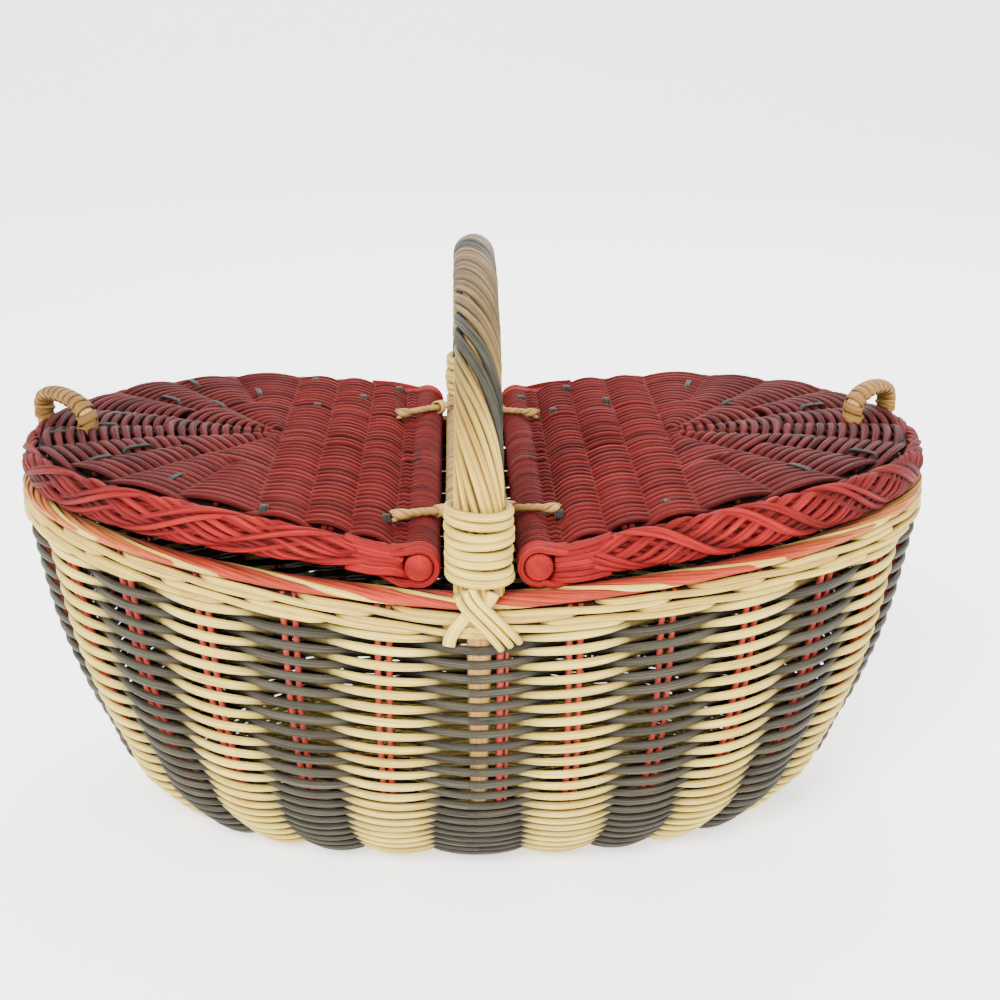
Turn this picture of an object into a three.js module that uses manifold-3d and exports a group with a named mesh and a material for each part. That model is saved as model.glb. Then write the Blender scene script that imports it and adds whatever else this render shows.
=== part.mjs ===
import * as THREE from 'three';
import { mergeVertices } from 'three/addons/utils/BufferGeometryUtils.js';
import Module from 'manifold-3d';

// A picnic basket in woven reed: an oval body, a fixed hoop handle and two hinged lids.
// Sizes are in millimetres. X runs along the basket, Y from front to back, Z up,
// and the base stands on Z = 0. "Half" sizes are measured from the basket's middle.

const wasm = await Module();
wasm.setup();

// Clearances
const fitGap = 0.3; // between two pieces that touch
const looseGap = 0.5; // between two woven edges that lie side by side
const cutOverrun = 2; // how far a cut runs past what it cuts
const mergeDistance = 0.0001;

// The oval plan and the lift of the rim towards the two ends
const planPower = 2.1;
const basePlanPower = 2.5;
const risePower = 1.15;
const endRise = 21;

// Reed stock
const stakeReed = 3.1;
const weaverReed = 3.2;
const bindingReed = 3.7;

// Woven wall, along the middle of its thickness
const rimHalfLength = 220;
const rimHalfWidth = 147;
const baseHalfLength = 153;
const baseHalfWidth = 97.5;
const wallHeight = 133;
const wallFootHeight = 5;
const troughDepth = 2.2;
const wallHeightShares = [0, 0.052, 0.172, 0.298, 0.449, 0.68, 1];
const wallLengthShares = [0, 0.119, 0.373, 0.493, 0.657, 0.845, 1];
const wallWidthShares = [0, 0.246, 0.528, 0.754, 0.909, 0.975, 1];
const plateauShare = 0.22; // of the pitch of the stakes, each side of a stake
const stakeCount = 28;

// Base
const baseThickness = 8;

// Wale band and rolled border round the rim
const bandHeight = 12.5;
const bandProud = 1.2;
const bandShoulder = 4;
const borderHeight = 7.2;
const borderHalfWidth = 6.5;
const borderRound = 2;
const borderRoundShare = 0.6; // of its half height, where the border is thin
const borderRiseShare = 0.8; // of the wall's own rise, so the border thins towards the ends

// Handle
const coreRadius = 6.25;
const handleStraight = 11; // upright stretch above the border
const handleTopHeight = 271.5;
const handlePower = 2.25;
const wrapFootRadius = 11.25;
const wrapTopRadius = 10.4;
const legHalfThickness = 2.5;
const legTipHalfWidth = 2;
const legTipHalfThickness = 1.3;
const legTipLevel = 1.4; // counted along the wall's levels, from the foot
const handleSteps = 26;
const coreSides = 8;
const wrapSides = 10;

// Binding round each foot of the handle
const bindingTurns = 8;
const bindingPitch = 4.15;
const bindingSlack = 0.6;
const bindingLift = 6.5; // from the foot of the handle's wrap to the first turn's middle
const bindingSteps = 16;
const bindingSides = 5;

// Crossed straps that lash each foot of the handle over the rim
const lashingThickness = 2.2;
const lashingSpread = 13;
const lashingWideHalf = 5.6;
const lashingNarrowHalf = 2.6;
const lashingTail = 3; // below the band
const lashingShares = [0, 0.4, 0.8]; // stretches of its drop that lie on the border and band

// Bar between the lids
const barHalfWidth = 13.5;
const barHeight = 11;
const barAboveDowel = 7.5; // the bar's top above the middles of the lids' dowels
const barBevel = 3;
const slatHalfWidth = 9;
const slatThickness = 4.5;

// Lids
const lidOverhang = 6; // past the rim at the tip
const lidHalfLength = rimHalfLength + lidOverhang;
const lidHalfWidth = rimHalfWidth;
const dowelOffset = 26;
const dowelAboveBorder = 11.2; // the dowel's middle above the border's lowest stretch
const dowelRadius = 6.25;
const dowelInset = 1; // from the lid's side to the dowel's face
const dowelHalfLength = lidHalfWidth - dowelInset;
const dowelSides = 16;
const sleeveRadius = 9.7;
const lidTipRise = 17;
const lidCrown = 7;
const lidEdgeDrop = 2;
const lidThickness = 9;
const wedgeLength = 34; // where the two layers that leave the dowel close on each other
const plaitHalfWidth = 5.5;
const plaitBelowTop = 1.2;
const plaitRound = 2.5;
const plaitDropAtDowel = 3; // the plait's underside below the dowel's middle
const rightPlaitSag = 4; // the right lid's plait is fuller beside its dowel
const lidSteps = 24;
const panelShares = [-1, -0.85, 0, 0.85, 1]; // points across a lid, of its half width
const lidStakeOffsets = [47, 66, 86];
const lidStakeDepth = 5.2;
const lidStakeMargin = 1;

// Pulls. Each foot is given in from the lid's tip and behind its middle.
const leftPullFeet = [[34, -11], [6, 22]];
const rightPullFeet = [[33, 5], [9, 33]];
const pullRise = 13;
const pullHalfWidth = 3.2;
const pullHalfThickness = 2.1;
const pullLegDepth = 7;
const pullSides = 8;
const pullSteps = 10;
const fineSteps = 400;
const caneWidth = 2.9;
const caneThickness = 1.2;
const canePitch = 4.7;
const caneTurns = 8;
const caneSteps = 10;

// Hinge ties, each from its end on the lid to its end on the bar. Ends are given as
// [along from the basket's middle, in from the dowel's end].
const tieHalfWidth = 2.1;
const tieHalfThickness = 1.2;
const tieSides = 6;
const frontLeftTie = [[33, 38], [9, 60]];
const backLeftTie = [[36, 78], [10, 41]];
const frontRightTie = [[32, 47], [6, 64]];
const backRightTie = [[30, 74], [6, 46]];

// Colours
function reed(colour) {
  return new THREE.MeshStandardMaterial({ color: colour, roughness: 0.7, metalness: 0 });
}
const naturalReed = reed(0xe0cc95);
const darkReed = reed(0x6e6a60);
const redReed = reed(0xa8403c);
const salmonReed = reed(0xcf7a64);
const paleWood = reed(0xe6cd9a);

// Points and skins

const sideways = new THREE.Vector3(1, 0, 0);
const inwards = new THREE.Vector3(0, 1, 0);
const upright = new THREE.Vector3(0, 0, 1);

function mix(low, high, share) {
  return low + (high - low) * share;
}

function signedPower(value, power) {
  return Math.sign(value) * Math.abs(value) ** power;
}

// A point of an oval. Angle 0 is the middle of the front, and a quarter turn is the +X end.
function planPoint(halfLength, halfWidth, angle, power = planPower) {
  return new THREE.Vector3(
    halfLength * signedPower(Math.sin(angle), 2 / power),
    -halfWidth * signedPower(Math.cos(angle), 2 / power),
    0,
  );
}

function planNormal(halfLength, halfWidth, angle) {
  const step = 0.001;
  const before = planPoint(halfLength, halfWidth, angle - step);
  const along = planPoint(halfLength, halfWidth, angle + step).sub(before);
  return new THREE.Vector3(along.y, -along.x, 0).normalize();
}

// One closed body from rings of points. Open runs get a flat cap at each end.
function skin(rings, closed = false) {
  const sides = rings[0].length;
  const points = rings.flat().flatMap((p) => [p.x, p.y, p.z]);
  const faces = [];
  const runs = closed ? rings.length : rings.length - 1;
  for (let i = 0; i < runs; i += 1) {
    const here = i * sides;
    const next = ((i + 1) % rings.length) * sides;
    for (let j = 0; j < sides; j += 1) {
      const k = (j + 1) % sides;
      faces.push(here + j, here + k, next + k, here + j, next + k, next + j);
    }
  }
  if (!closed) {
    for (const [ring, first, turn] of [
      [rings[0], 0, 1],
      [rings[rings.length - 1], (rings.length - 1) * sides, 0],
    ]) {
      const middle = points.length / 3;
      const centre = ring.reduce((sum, p) => sum.add(p), new THREE.Vector3()).divideScalar(sides);
      points.push(centre.x, centre.y, centre.z);
      for (let j = 0; j < sides; j += 1) {
        const k = (j + 1) % sides;
        faces.push(middle, first + (turn ? k : j), first + (turn ? j : k));
      }
    }
  }
  const geometry = new THREE.BufferGeometry();
  geometry.setAttribute('position', new THREE.Float32BufferAttribute(points, 3));
  geometry.setIndex(faces);
  return facingOut(geometry);
}

function enclosedVolume(geometry) {
  const place = geometry.attributes.position;
  const faces = geometry.index.array;
  const corners = [new THREE.Vector3(), new THREE.Vector3(), new THREE.Vector3()];
  let sum = 0;
  for (let i = 0; i < faces.length; i += 3) {
    corners.forEach((corner, j) => corner.fromBufferAttribute(place, faces[i + j]));
    sum += corners[0].dot(corners[1].clone().cross(corners[2]));
  }
  return sum;
}

function facingOut(geometry) {
  if (enclosedVolume(geometry) < 0) {
    const faces = geometry.index.array;
    for (let i = 0; i < faces.length; i += 3) {
      [faces[i], faces[i + 1]] = [faces[i + 1], faces[i]];
    }
  }
  return geometry;
}

// A copy on the other side of the X = 0 plane
function mirrored(geometry) {
  const copy = geometry.clone();
  copy.applyMatrix4(new THREE.Matrix4().makeScale(-1, 1, 1));
  return facingOut(copy);
}

function toSolid(geometry) {
  const plain = geometry.clone();
  plain.deleteAttribute('normal');
  plain.deleteAttribute('uv');
  const merged = mergeVertices(plain, mergeDistance);
  return new wasm.Manifold(
    new wasm.Mesh({
      numProp: 3,
      vertProperties: merged.attributes.position.array,
      triVerts: Uint32Array.from(merged.index.array),
    }),
  );
}

function toGeometry(solid) {
  const mesh = solid.getMesh();
  const geometry = new THREE.BufferGeometry();
  geometry.setAttribute('position', new THREE.Float32BufferAttribute(mesh.vertProperties, 3));
  geometry.setIndex(Array.from(mesh.triVerts));
  return geometry;
}

function cut(geometry, cutters) {
  let solid = toSolid(geometry);
  for (const cutter of cutters) {
    solid = solid.subtract(toSolid(cutter));
  }
  return toGeometry(solid);
}

function joined(first, second) {
  return toGeometry(toSolid(first).add(toSolid(second)));
}

// Direction of a line of points at one of them
function directionAt(line, i) {
  const next = line[Math.min(i + 1, line.length - 1)];
  return next.clone().sub(line[Math.max(i - 1, 0)]).normalize();
}

// A ring of points round a centre, across and up being unit directions
function ovalRing(centre, across, up, halfAcross, halfUp, sides) {
  return Array.from({ length: sides }, (_, j) => {
    const turn = (j / sides) * 2 * Math.PI;
    return centre
      .clone()
      .addScaledVector(across, halfAcross * Math.cos(turn))
      .addScaledVector(up, halfUp * Math.sin(turn));
  });
}

// An outline of [across, up] corners set round a centre
function flatRing(centre, across, up, corners) {
  return corners.map(([a, b]) =>
    centre.clone().addScaledVector(across, a).addScaledVector(up, b),
  );
}

function boxCorners(halfAcross, halfUp) {
  return [
    [-halfAcross, -halfUp],
    [halfAcross, -halfUp],
    [halfAcross, halfUp],
    [-halfAcross, halfUp],
  ];
}

// A box outline with its corners cut off
function bevelCorners(halfAcross, halfUp, bevel) {
  return [
    [-halfAcross + bevel, -halfUp],
    [halfAcross - bevel, -halfUp],
    [halfAcross, -halfUp + bevel],
    [halfAcross, halfUp - bevel],
    [halfAcross - bevel, halfUp],
    [-halfAcross + bevel, halfUp],
    [-halfAcross, halfUp - bevel],
    [-halfAcross, -halfUp + bevel],
  ];
}

// Least distance between points of a winding that lie half a turn or more apart
function leastGap(rings, stepsPerTurn) {
  let least = Infinity;
  for (let i = 0; i < rings.length; i += 1) {
    for (let j = i + Math.ceil(stepsPerTurn / 2); j < rings.length; j += 1) {
      for (const p of rings[i]) {
        for (const q of rings[j]) {
          least = Math.min(least, p.distanceTo(q));
        }
      }
    }
  }
  return least;
}

function piece(name, geometry, material) {
  const mesh = new THREE.Mesh(geometry, material);
  mesh.name = name;
  return mesh;
}

// Wall

const topLevel = wallHeightShares.length - 1;
const wallHalfAtStake = stakeReed / 2 + weaverReed;
const wallHalfBetween = wallHalfAtStake - troughDepth;

// Even steps along the rim, as angles of the plan
const planSamples = 1440;
const rimLengths = [0];
for (let i = 1; i <= planSamples; i += 1) {
  const from = planPoint(rimHalfLength, rimHalfWidth, ((i - 1) / planSamples) * 2 * Math.PI);
  const to = planPoint(rimHalfLength, rimHalfWidth, (i / planSamples) * 2 * Math.PI);
  rimLengths.push(rimLengths[i - 1] + from.distanceTo(to));
}
const rimLength = rimLengths[planSamples];

function angleAt(share) {
  const whole = Math.floor(share);
  const wanted = (share - whole) * rimLength;
  let i = rimLengths.findIndex((length) => length > wanted);
  if (i < 1) i = 1;
  const part = (wanted - rimLengths[i - 1]) / (rimLengths[i] - rimLengths[i - 1]);
  return ((i - 1 + part) / planSamples + whole) * 2 * Math.PI;
}

function riseAt(x) {
  return endRise * Math.abs(x / rimHalfLength) ** risePower;
}

function shareAt(shares, level) {
  const low = Math.min(Math.floor(level), topLevel - 1);
  return mix(shares[low], shares[low + 1], level - low);
}

function wallMiddle(angle, level) {
  const halfLength = mix(baseHalfLength, rimHalfLength, shareAt(wallLengthShares, level));
  const halfWidth = mix(baseHalfWidth, rimHalfWidth, shareAt(wallWidthShares, level));
  const power = mix(basePlanPower, planPower, level / topLevel);
  const point = planPoint(halfLength, halfWidth, angle, power);
  const top = wallHeight + riseAt(planPoint(rimHalfLength, rimHalfWidth, angle).x);
  point.z = mix(wallFootHeight, top, shareAt(wallHeightShares, level));
  return point;
}

// Along the wall's slope, and straight up at its top edge
function wallUp(angle, level) {
  if (level === topLevel) return upright.clone();
  const above = wallMiddle(angle, Math.min(level + 1, topLevel));
  return above.sub(wallMiddle(angle, Math.max(level - 1, 0))).normalize();
}

function wallNormal(angle, level) {
  const step = 0.001;
  const along = wallMiddle(angle + step, level).sub(wallMiddle(angle - step, level));
  return along.cross(wallUp(angle, level)).normalize();
}

function wallSurface(angle, level, depth) {
  return wallMiddle(angle, level).addScaledVector(wallNormal(angle, level), depth);
}

// Upper faces at a distance from the basket's middle
const bandFoot = wallHeight + fitGap;
const bandTop = bandFoot + bandHeight;
const borderFoot = bandTop + fitGap;

function borderTopAt(x) {
  return borderFoot + borderHeight + borderRiseShare * riseAt(x);
}

// Stakes

const centreStakes = [0, stakeCount / 2]; // single reeds beside the handle's legs
const centreStakeShift = coreRadius + 2 * fitGap + stakeReed / 2 + looseGap / 2;

function stakeShape(index, extraAcross, extraUp, footRun, headRun) {
  const single = centreStakes.includes(index);
  const shift = single ? centreStakeShift / rimLength : 0;
  const halfAcross = (single ? stakeReed / 2 : stakeReed) + extraAcross;
  const angle = angleAt(index / stakeCount + shift);
  const corners = boxCorners(halfAcross, stakeReed / 2 + extraUp);
  const rings = [];
  for (let level = 0; level <= topLevel; level += 1) {
    const up = wallUp(angle, level);
    const normal = wallNormal(angle, level);
    const centre = wallMiddle(angle, level);
    if (level === 0) centre.addScaledVector(up, -footRun);
    rings.push(flatRing(centre, normal.clone().cross(up), normal, corners));
  }
  const head = rings[topLevel].map((p) => p.clone());
  head.forEach((p) => {
    p.z += bandHeight + headRun;
  });
  return skin([...rings, head]);
}

// Handle

const dowelHeight = borderTopAt(0) + dowelAboveBorder;
const barTop = dowelHeight + barAboveDowel;

const wrapFoot = borderTopAt(wrapFootRadius) + fitGap;
const handleSpringHeight = wrapFoot + handleStraight;

// The hoop's middle line from share 0 at the front to 1 at the back
function hoopPoint(share) {
  const turn = share * Math.PI;
  return new THREE.Vector3(
    0,
    -rimHalfWidth * signedPower(Math.cos(turn), 2 / handlePower),
    handleSpringHeight +
      (handleTopHeight - handleSpringHeight) * Math.abs(Math.sin(turn)) ** (2 / handlePower),
  );
}

// The front leg's middle line at a height
function legPlace(height) {
  const rise = Math.max(0, height - handleSpringHeight) / (handleTopHeight - handleSpringHeight);
  return -rimHalfWidth * (1 - rise ** handlePower) ** (1 / handlePower);
}

const hoopLine = [new THREE.Vector3(0, -rimHalfWidth, wrapFoot)];
for (let i = 0; i <= handleSteps; i += 1) {
  hoopLine.push(hoopPoint(i / handleSteps));
}
hoopLine.push(new THREE.Vector3(0, rimHalfWidth, wrapFoot));
const legLine = [wallMiddle(0, legTipLevel)];
for (let level = Math.ceil(legTipLevel); level <= topLevel; level += 1) {
  legLine.push(wallMiddle(0, level));
}
legLine.push(new THREE.Vector3(0, -rimHalfWidth, wrapFoot));

// Across a line that lies in the plane of the handle
function upOf(line, i) {
  const along = directionAt(line, i);
  return new THREE.Vector3(0, -along.z, along.y);
}

function legRings(extra, footRun, headRun) {
  return legLine.map((point, i) => {
    const share = i / (legLine.length - 1);
    const centre = point.clone();
    if (i === 0) centre.addScaledVector(wallUp(0, legTipLevel), -footRun);
    if (i === legLine.length - 1) centre.z += headRun;
    return ovalRing(
      centre,
      sideways,
      upOf(legLine, i),
      mix(legTipHalfWidth, coreRadius, share) + extra,
      mix(legTipHalfThickness, legHalfThickness, share) + extra,
      coreSides,
    );
  });
}

function turnedRing(ring, shift) {
  return ring.map((_, j) => ring[(j + shift) % ring.length]);
}

function handleCore() {
  const front = legRings(0, 0, 0);
  const hoop = hoopLine.slice(1, -1).map((point, i) =>
    ovalRing(point, sideways, upOf(hoopLine, i + 1), coreRadius, coreRadius, coreSides),
  );
  const back = front.map((ring) => ring.map((p) => new THREE.Vector3(p.x, -p.y, p.z))).reverse();
  const last = hoop[hoop.length - 1];
  return skin([...front, ...hoop, ...back.map((ring) => matched(ring, last))]);
}

// The same ring, turned and begun so that its points lie nearest to those of another
function matched(ring, other) {
  let best = ring;
  let least = Infinity;
  for (const order of [ring, [...ring].reverse()]) {
    for (let shift = 0; shift < ring.length; shift += 1) {
      const tried = turnedRing(order, shift);
      const sum = tried.reduce((total, p, j) => total + p.distanceToSquared(other[j]), 0);
      if (sum < least) {
        least = sum;
        best = tried;
      }
    }
  }
  return best;
}

function handleWrap() {
  const middle = (hoopLine.length - 1) / 2;
  const sections = Array.from({ length: wrapSides }, () => []);
  hoopLine.forEach((point, i) => {
    const towardsTop = 1 - Math.abs(i - middle) / middle;
    const radius = mix(wrapFootRadius, wrapTopRadius, towardsTop);
    const ring = ovalRing(point, sideways, upOf(hoopLine, i), radius, radius, wrapSides);
    ring.forEach((p, j) => sections[j].push(p));
  });
  const bore = (coreRadius + fitGap) / Math.cos(Math.PI / wrapSides);
  [...hoopLine.keys()].reverse().forEach((i) => {
    const ring = ovalRing(hoopLine[i], sideways, upOf(hoopLine, i), bore, bore, wrapSides);
    ring.forEach((p, j) => sections[j].push(p));
  });
  return skin(sections, true);
}

// Turns of reed round the foot of the handle, front side
const bindingRadius = wrapFootRadius + bindingSlack + bindingReed / 2;
const bindingReach = bindingRadius + bindingReed / 2;

function bindingRings() {
  const steps = bindingTurns * bindingSteps;
  const first = wrapFoot + bindingLift;
  const line = [];
  for (let i = 0; i <= steps; i += 1) {
    const turn = (i / bindingSteps) * 2 * Math.PI;
    const height = first + (i / bindingSteps) * bindingPitch;
    const across = bindingRadius * Math.sin(turn);
    line.push(new THREE.Vector3(across, legPlace(height) + bindingRadius * Math.cos(turn), height));
  }
  const startRun = line[0].clone().sub(line[1]).setLength(bindingReed);
  const endRun = line[steps].clone().sub(line[steps - 1]).setLength(bindingReed);
  line.unshift(line[0].clone().add(startRun));
  line.push(line[line.length - 1].clone().add(endRun));
  return line.map((point, i) => {
    const along = directionAt(line, i);
    const out = along.clone().cross(upright).normalize();
    const up = out.clone().cross(along).normalize();
    return ovalRing(point, out, up, bindingReed / 2, bindingReed / 2, bindingSides);
  });
}

// One strap of a lashing, down the outside of the border and the band
const bandHalf = wallHalfAtStake + bandProud;
const lashingFace = Math.max(borderHalfWidth, bandHalf) + fitGap + lashingThickness / 2;

function lashingStrap(topX, bottomX, halfWidth) {
  const top = wrapFoot - fitGap;
  const bottom = bandFoot - lashingTail;
  const tuck = wallHalfAtStake + fitGap + lashingThickness / 2;
  const places = lashingShares.map((share) => [share, mix(top, bottom, share), lashingFace]);
  places.push([1, bottom, tuck]);
  const corners = boxCorners(halfWidth, lashingThickness / 2);
  const rings = places.map(([share, height, depth]) => {
    const centre = new THREE.Vector3(mix(topX, bottomX, share), -rimHalfWidth - depth, height);
    return flatRing(centre, sideways, inwards, corners);
  });
  return skin(rings);
}

// Half turn about Z, from the front of the basket to its back
function toBack(geometry) {
  return geometry.clone().rotateZ(Math.PI);
}

// Body pieces

// Columns round the basket: two at each stake and one in the trough between stakes
const columns = [];
for (let stake = 0; stake < stakeCount; stake += 1) {
  for (const offset of [-plateauShare, plateauShare, 0.5]) {
    columns.push({ angle: angleAt((stake + offset) / stakeCount), inTrough: offset === 0.5 });
  }
}

function sideWall(cutters) {
  const sections = columns.map(({ angle, inTrough }) => {
    const half = inTrough ? wallHalfBetween : wallHalfAtStake;
    const levels = [...wallHeightShares.keys()];
    return [
      ...levels.map((level) => wallSurface(angle, level, half)),
      ...levels.reverse().map((level) => wallSurface(angle, level, -half)),
    ];
  });
  return cut(skin(sections, true), cutters);
}

// A closed ring that follows the rim; corners are [outward, height] at a place along X
function rimRing(cornersAt) {
  const sections = columns
    .filter(({ inTrough }) => !inTrough)
    .map(({ angle }) => {
      const middle = planPoint(rimHalfLength, rimHalfWidth, angle);
      const normal = planNormal(rimHalfLength, rimHalfWidth, angle);
      return flatRing(middle, normal, upright, cornersAt(middle.x));
    });
  return skin(sections, true);
}

function waleBand(cutters) {
  const inner = -wallHalfAtStake;
  const band = rimRing((x) => {
    const rise = riseAt(x);
    return [
      [inner, bandFoot + rise],
      [wallHalfAtStake, bandFoot + rise],
      [bandHalf, bandFoot + bandShoulder + rise],
      [bandHalf, bandTop - bandShoulder + rise],
      [wallHalfAtStake, bandTop + rise],
      [inner, bandTop + rise],
    ];
  });
  return cut(band, cutters);
}

function rimBorder(cutters) {
  const border = rimRing((x) => {
    const foot = borderFoot + riseAt(x);
    const half = (borderTopAt(x) - foot) / 2;
    const bevel = Math.min(borderRound, half * borderRoundShare);
    return bevelCorners(borderHalfWidth, half, bevel).map(([a, b]) => [a, foot + half + b]);
  });
  return cut(border, cutters);
}

// The base fills the oval that the wall's foot leaves, with the same slant at its edge
function basePanel() {
  const edge = (height) =>
    columns.map(({ angle }) => {
      const foot = wallMiddle(angle, 0);
      const normal = wallNormal(angle, 0);
      foot.addScaledVector(normal, (height - foot.z) / normal.z);
      const inward = Math.hypot(foot.x, foot.y);
      return foot.multiplyScalar((inward - looseGap) / inward).setZ(height);
    });
  return skin([edge(0), edge(baseThickness)]);
}

function flatBox(halfWidth, low, high, halfLength) {
  const box = new THREE.BoxGeometry(2 * halfWidth, 2 * halfLength, high - low);
  return box.translate(0, 0, (low + high) / 2);
}

// The bar runs from binding to binding
const barHalfLength = -legPlace(barTop) - bindingReach - fitGap;
const barMiddle = barTop - barHeight / 2;

function barWrap() {
  const corners = bevelCorners(barHalfWidth, barHeight / 2, barBevel);
  const end = (y) => flatRing(new THREE.Vector3(0, y, barMiddle), sideways, upright, corners);
  const bore = flatBox(
    slatHalfWidth + fitGap,
    barMiddle - slatThickness / 2 - fitGap,
    barMiddle + slatThickness / 2 + fitGap,
    barHalfLength + cutOverrun,
  );
  return cut(skin([end(-barHalfLength), end(barHalfLength)]), [bore]);
}

function barSlat() {
  return flatBox(
    slatHalfWidth,
    barMiddle - slatThickness / 2,
    barMiddle + slatThickness / 2,
    barHalfLength,
  );
}

// Lids, drawn on the +X side

function lidTopAt(u) {
  const share = (u - dowelOffset) / (lidHalfLength - dowelOffset);
  return dowelHeight + sleeveRadius + lidTipRise * share + 4 * lidCrown * share * (1 - share);
}

const plaitStart = dowelOffset + sleeveRadius + looseGap;
const plaitLineHalfLength = lidHalfLength - plaitHalfWidth;
const plaitLineHalfWidth = lidHalfWidth - plaitHalfWidth;
const panelHalfLength = plaitLineHalfLength - plaitHalfWidth - looseGap;
const panelHalfWidth = plaitLineHalfWidth - plaitHalfWidth - looseGap;
const plaitFirstAngle = Math.asin((plaitStart / plaitLineHalfLength) ** (planPower / 2));

function plaitAngle(step) {
  return mix(plaitFirstAngle, Math.PI - plaitFirstAngle, step / lidSteps);
}

// The plait's underside rises from the dowel to the tip, where it rests on the border
function plaitFootAt(u, sag) {
  const share = (u - plaitStart) / (lidHalfLength - plaitStart);
  const atDowel = dowelHeight - plaitDropAtDowel - sag;
  return mix(atDowel, borderTopAt(lidHalfLength) + looseGap, share);
}

function lidPlait(sag) {
  const rings = [];
  for (let i = 0; i <= lidSteps; i += 1) {
    const angle = plaitAngle(i);
    const middle = planPoint(plaitLineHalfLength, plaitLineHalfWidth, angle);
    const normal = planNormal(plaitLineHalfLength, plaitLineHalfWidth, angle);
    const foot = plaitFootAt(middle.x, sag);
    const half = (lidTopAt(middle.x) - lidEdgeDrop - plaitBelowTop - foot) / 2;
    middle.z = foot + half;
    const corners = bevelCorners(plaitHalfWidth, half, plaitRound);
    rings.push(flatRing(middle, normal, upright, corners));
  }
  return skin(rings);
}

function panelSection(u, halfWidth) {
  const top = lidTopAt(u);
  const wedge = Math.max(0, 1 - (u - dowelOffset) / wedgeLength);
  const thickness = mix(lidThickness, 2 * sleeveRadius, wedge);
  const drop = (share) => (Math.abs(share) === 1 ? lidEdgeDrop : 0);
  const upper = panelShares.map(
    (share) => new THREE.Vector3(u, halfWidth * share, top - drop(share)),
  );
  const lower = [...panelShares].reverse().map(
    (share) => new THREE.Vector3(u, halfWidth * share, top - thickness),
  );
  return [...upper, ...lower];
}

// A round bar about the line that a lid turns on
function dowelShape(radius, halfLength) {
  const bar = new THREE.CylinderGeometry(radius, radius, 2 * halfLength, dowelSides);
  return bar.translate(dowelOffset, 0, dowelHeight);
}

function lidStake(offset, extra, halfLength) {
  const height = lidTopAt(offset) - lidStakeDepth;
  const corners = boxCorners(stakeReed + extra, stakeReed / 2 + extra);
  const end = (y) => flatRing(new THREE.Vector3(offset, y, height), sideways, upright, corners);
  return skin([end(-halfLength), end(halfLength)]);
}

function panelReach(u) {
  return panelHalfWidth * (1 - (u / panelHalfLength) ** planPower) ** (1 / planPower);
}

function lidPanel(pullCutter) {
  const sections = [panelSection(dowelOffset, panelReach(dowelOffset))];
  for (let i = 0; i < lidSteps / 2; i += 1) {
    const edge = planPoint(panelHalfLength, panelHalfWidth, plaitAngle(i));
    sections.push(panelSection(edge.x, -edge.y));
  }
  const sleeve = dowelShape(sleeveRadius, dowelHalfLength);
  const bore = dowelShape(dowelRadius + fitGap, dowelHalfLength + cutOverrun);
  const channels = lidStakeOffsets.map((offset) => lidStake(offset, fitGap, lidHalfWidth));
  return cut(joined(skin(sections), sleeve), [bore, ...channels, pullCutter]);
}

// Pulls, also drawn on the +X side

// The upright arch between two feet
function arch(feet) {
  const [inner, outer] = feet.map(([inset, y]) => new THREE.Vector3(lidHalfLength - inset, y, 0));
  const run = outer.clone().sub(inner).normalize();
  const across = new THREE.Vector3(-run.y, run.x, 0);
  const base = lidTopAt(inner.x);
  const pointAt = (share) => {
    const turn = share * Math.PI;
    const point = inner.clone().lerp(outer, (1 - Math.cos(turn)) / 2);
    point.z = base + pullRise * Math.sin(turn);
    return point;
  };
  const legs = [inner, outer].map((foot) => {
    const end = foot.clone();
    end.z = lidTopAt(foot.x) - lidEdgeDrop;
    return end;
  });
  return { across, legs, pointAt };
}

function pullCore({ across, legs, pointAt }, extra, depth) {
  const line = Array.from({ length: pullSteps + 1 }, (_, i) => pointAt(i / pullSteps));
  const [innerEnd, outerEnd] = legs.map((leg) => leg.clone());
  innerEnd.z -= depth;
  outerEnd.z -= depth;
  const whole = [innerEnd, ...line, outerEnd];
  return skin(
    whole.map((point, i) => {
      const along = directionAt(whole, i);
      const up = across.clone().cross(along).normalize();
      const [half, thin] = [pullHalfWidth + extra, pullHalfThickness + extra];
      return ovalRing(point, across, up, half, thin, pullSides);
    }),
  );
}

// Flat cane wound round the arch, from near one foot to near the other
function pullWrapRings({ across, pointAt }) {
  const line = Array.from({ length: fineSteps + 1 }, (_, i) => pointAt(i / fineSteps));
  const lengths = [0];
  for (let i = 1; i <= fineSteps; i += 1) {
    lengths.push(lengths[i - 1] + line[i].distanceTo(line[i - 1]));
  }
  const start = (lengths[fineSteps] - caneTurns * canePitch) / 2;
  const halfAcross = pullHalfWidth + looseGap + caneThickness / 2;
  const halfUp = pullHalfThickness + looseGap + caneThickness / 2;
  const corners = boxCorners(caneWidth / 2, caneThickness / 2);
  const rings = [];
  const last = caneTurns * caneSteps;
  for (let i = 0; i <= last; i += 1) {
    const wanted = start + (i / caneSteps) * canePitch;
    const near = lengths.findIndex((length) => length >= wanted);
    const along = directionAt(line, near);
    const up = across.clone().cross(along).normalize();
    const turn = (i / caneSteps) * 2 * Math.PI;
    const out = across
      .clone()
      .multiplyScalar(Math.cos(turn) / halfAcross)
      .addScaledVector(up, Math.sin(turn) / halfUp)
      .normalize();
    const centre = line[near]
      .clone()
      .addScaledVector(across, halfAcross * Math.cos(turn))
      .addScaledVector(up, halfUp * Math.sin(turn));
    const ring = flatRing(centre, along, out, corners);
    const onward = out.clone().cross(along).setLength(i === 0 ? -caneWidth : caneWidth);
    const endRing = ring.map((p) => p.clone().add(onward));
    if (i === 0) rings.push(endRing);
    rings.push(ring);
    if (i === last) rings.push(endRing);
  }
  return rings;
}

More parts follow.
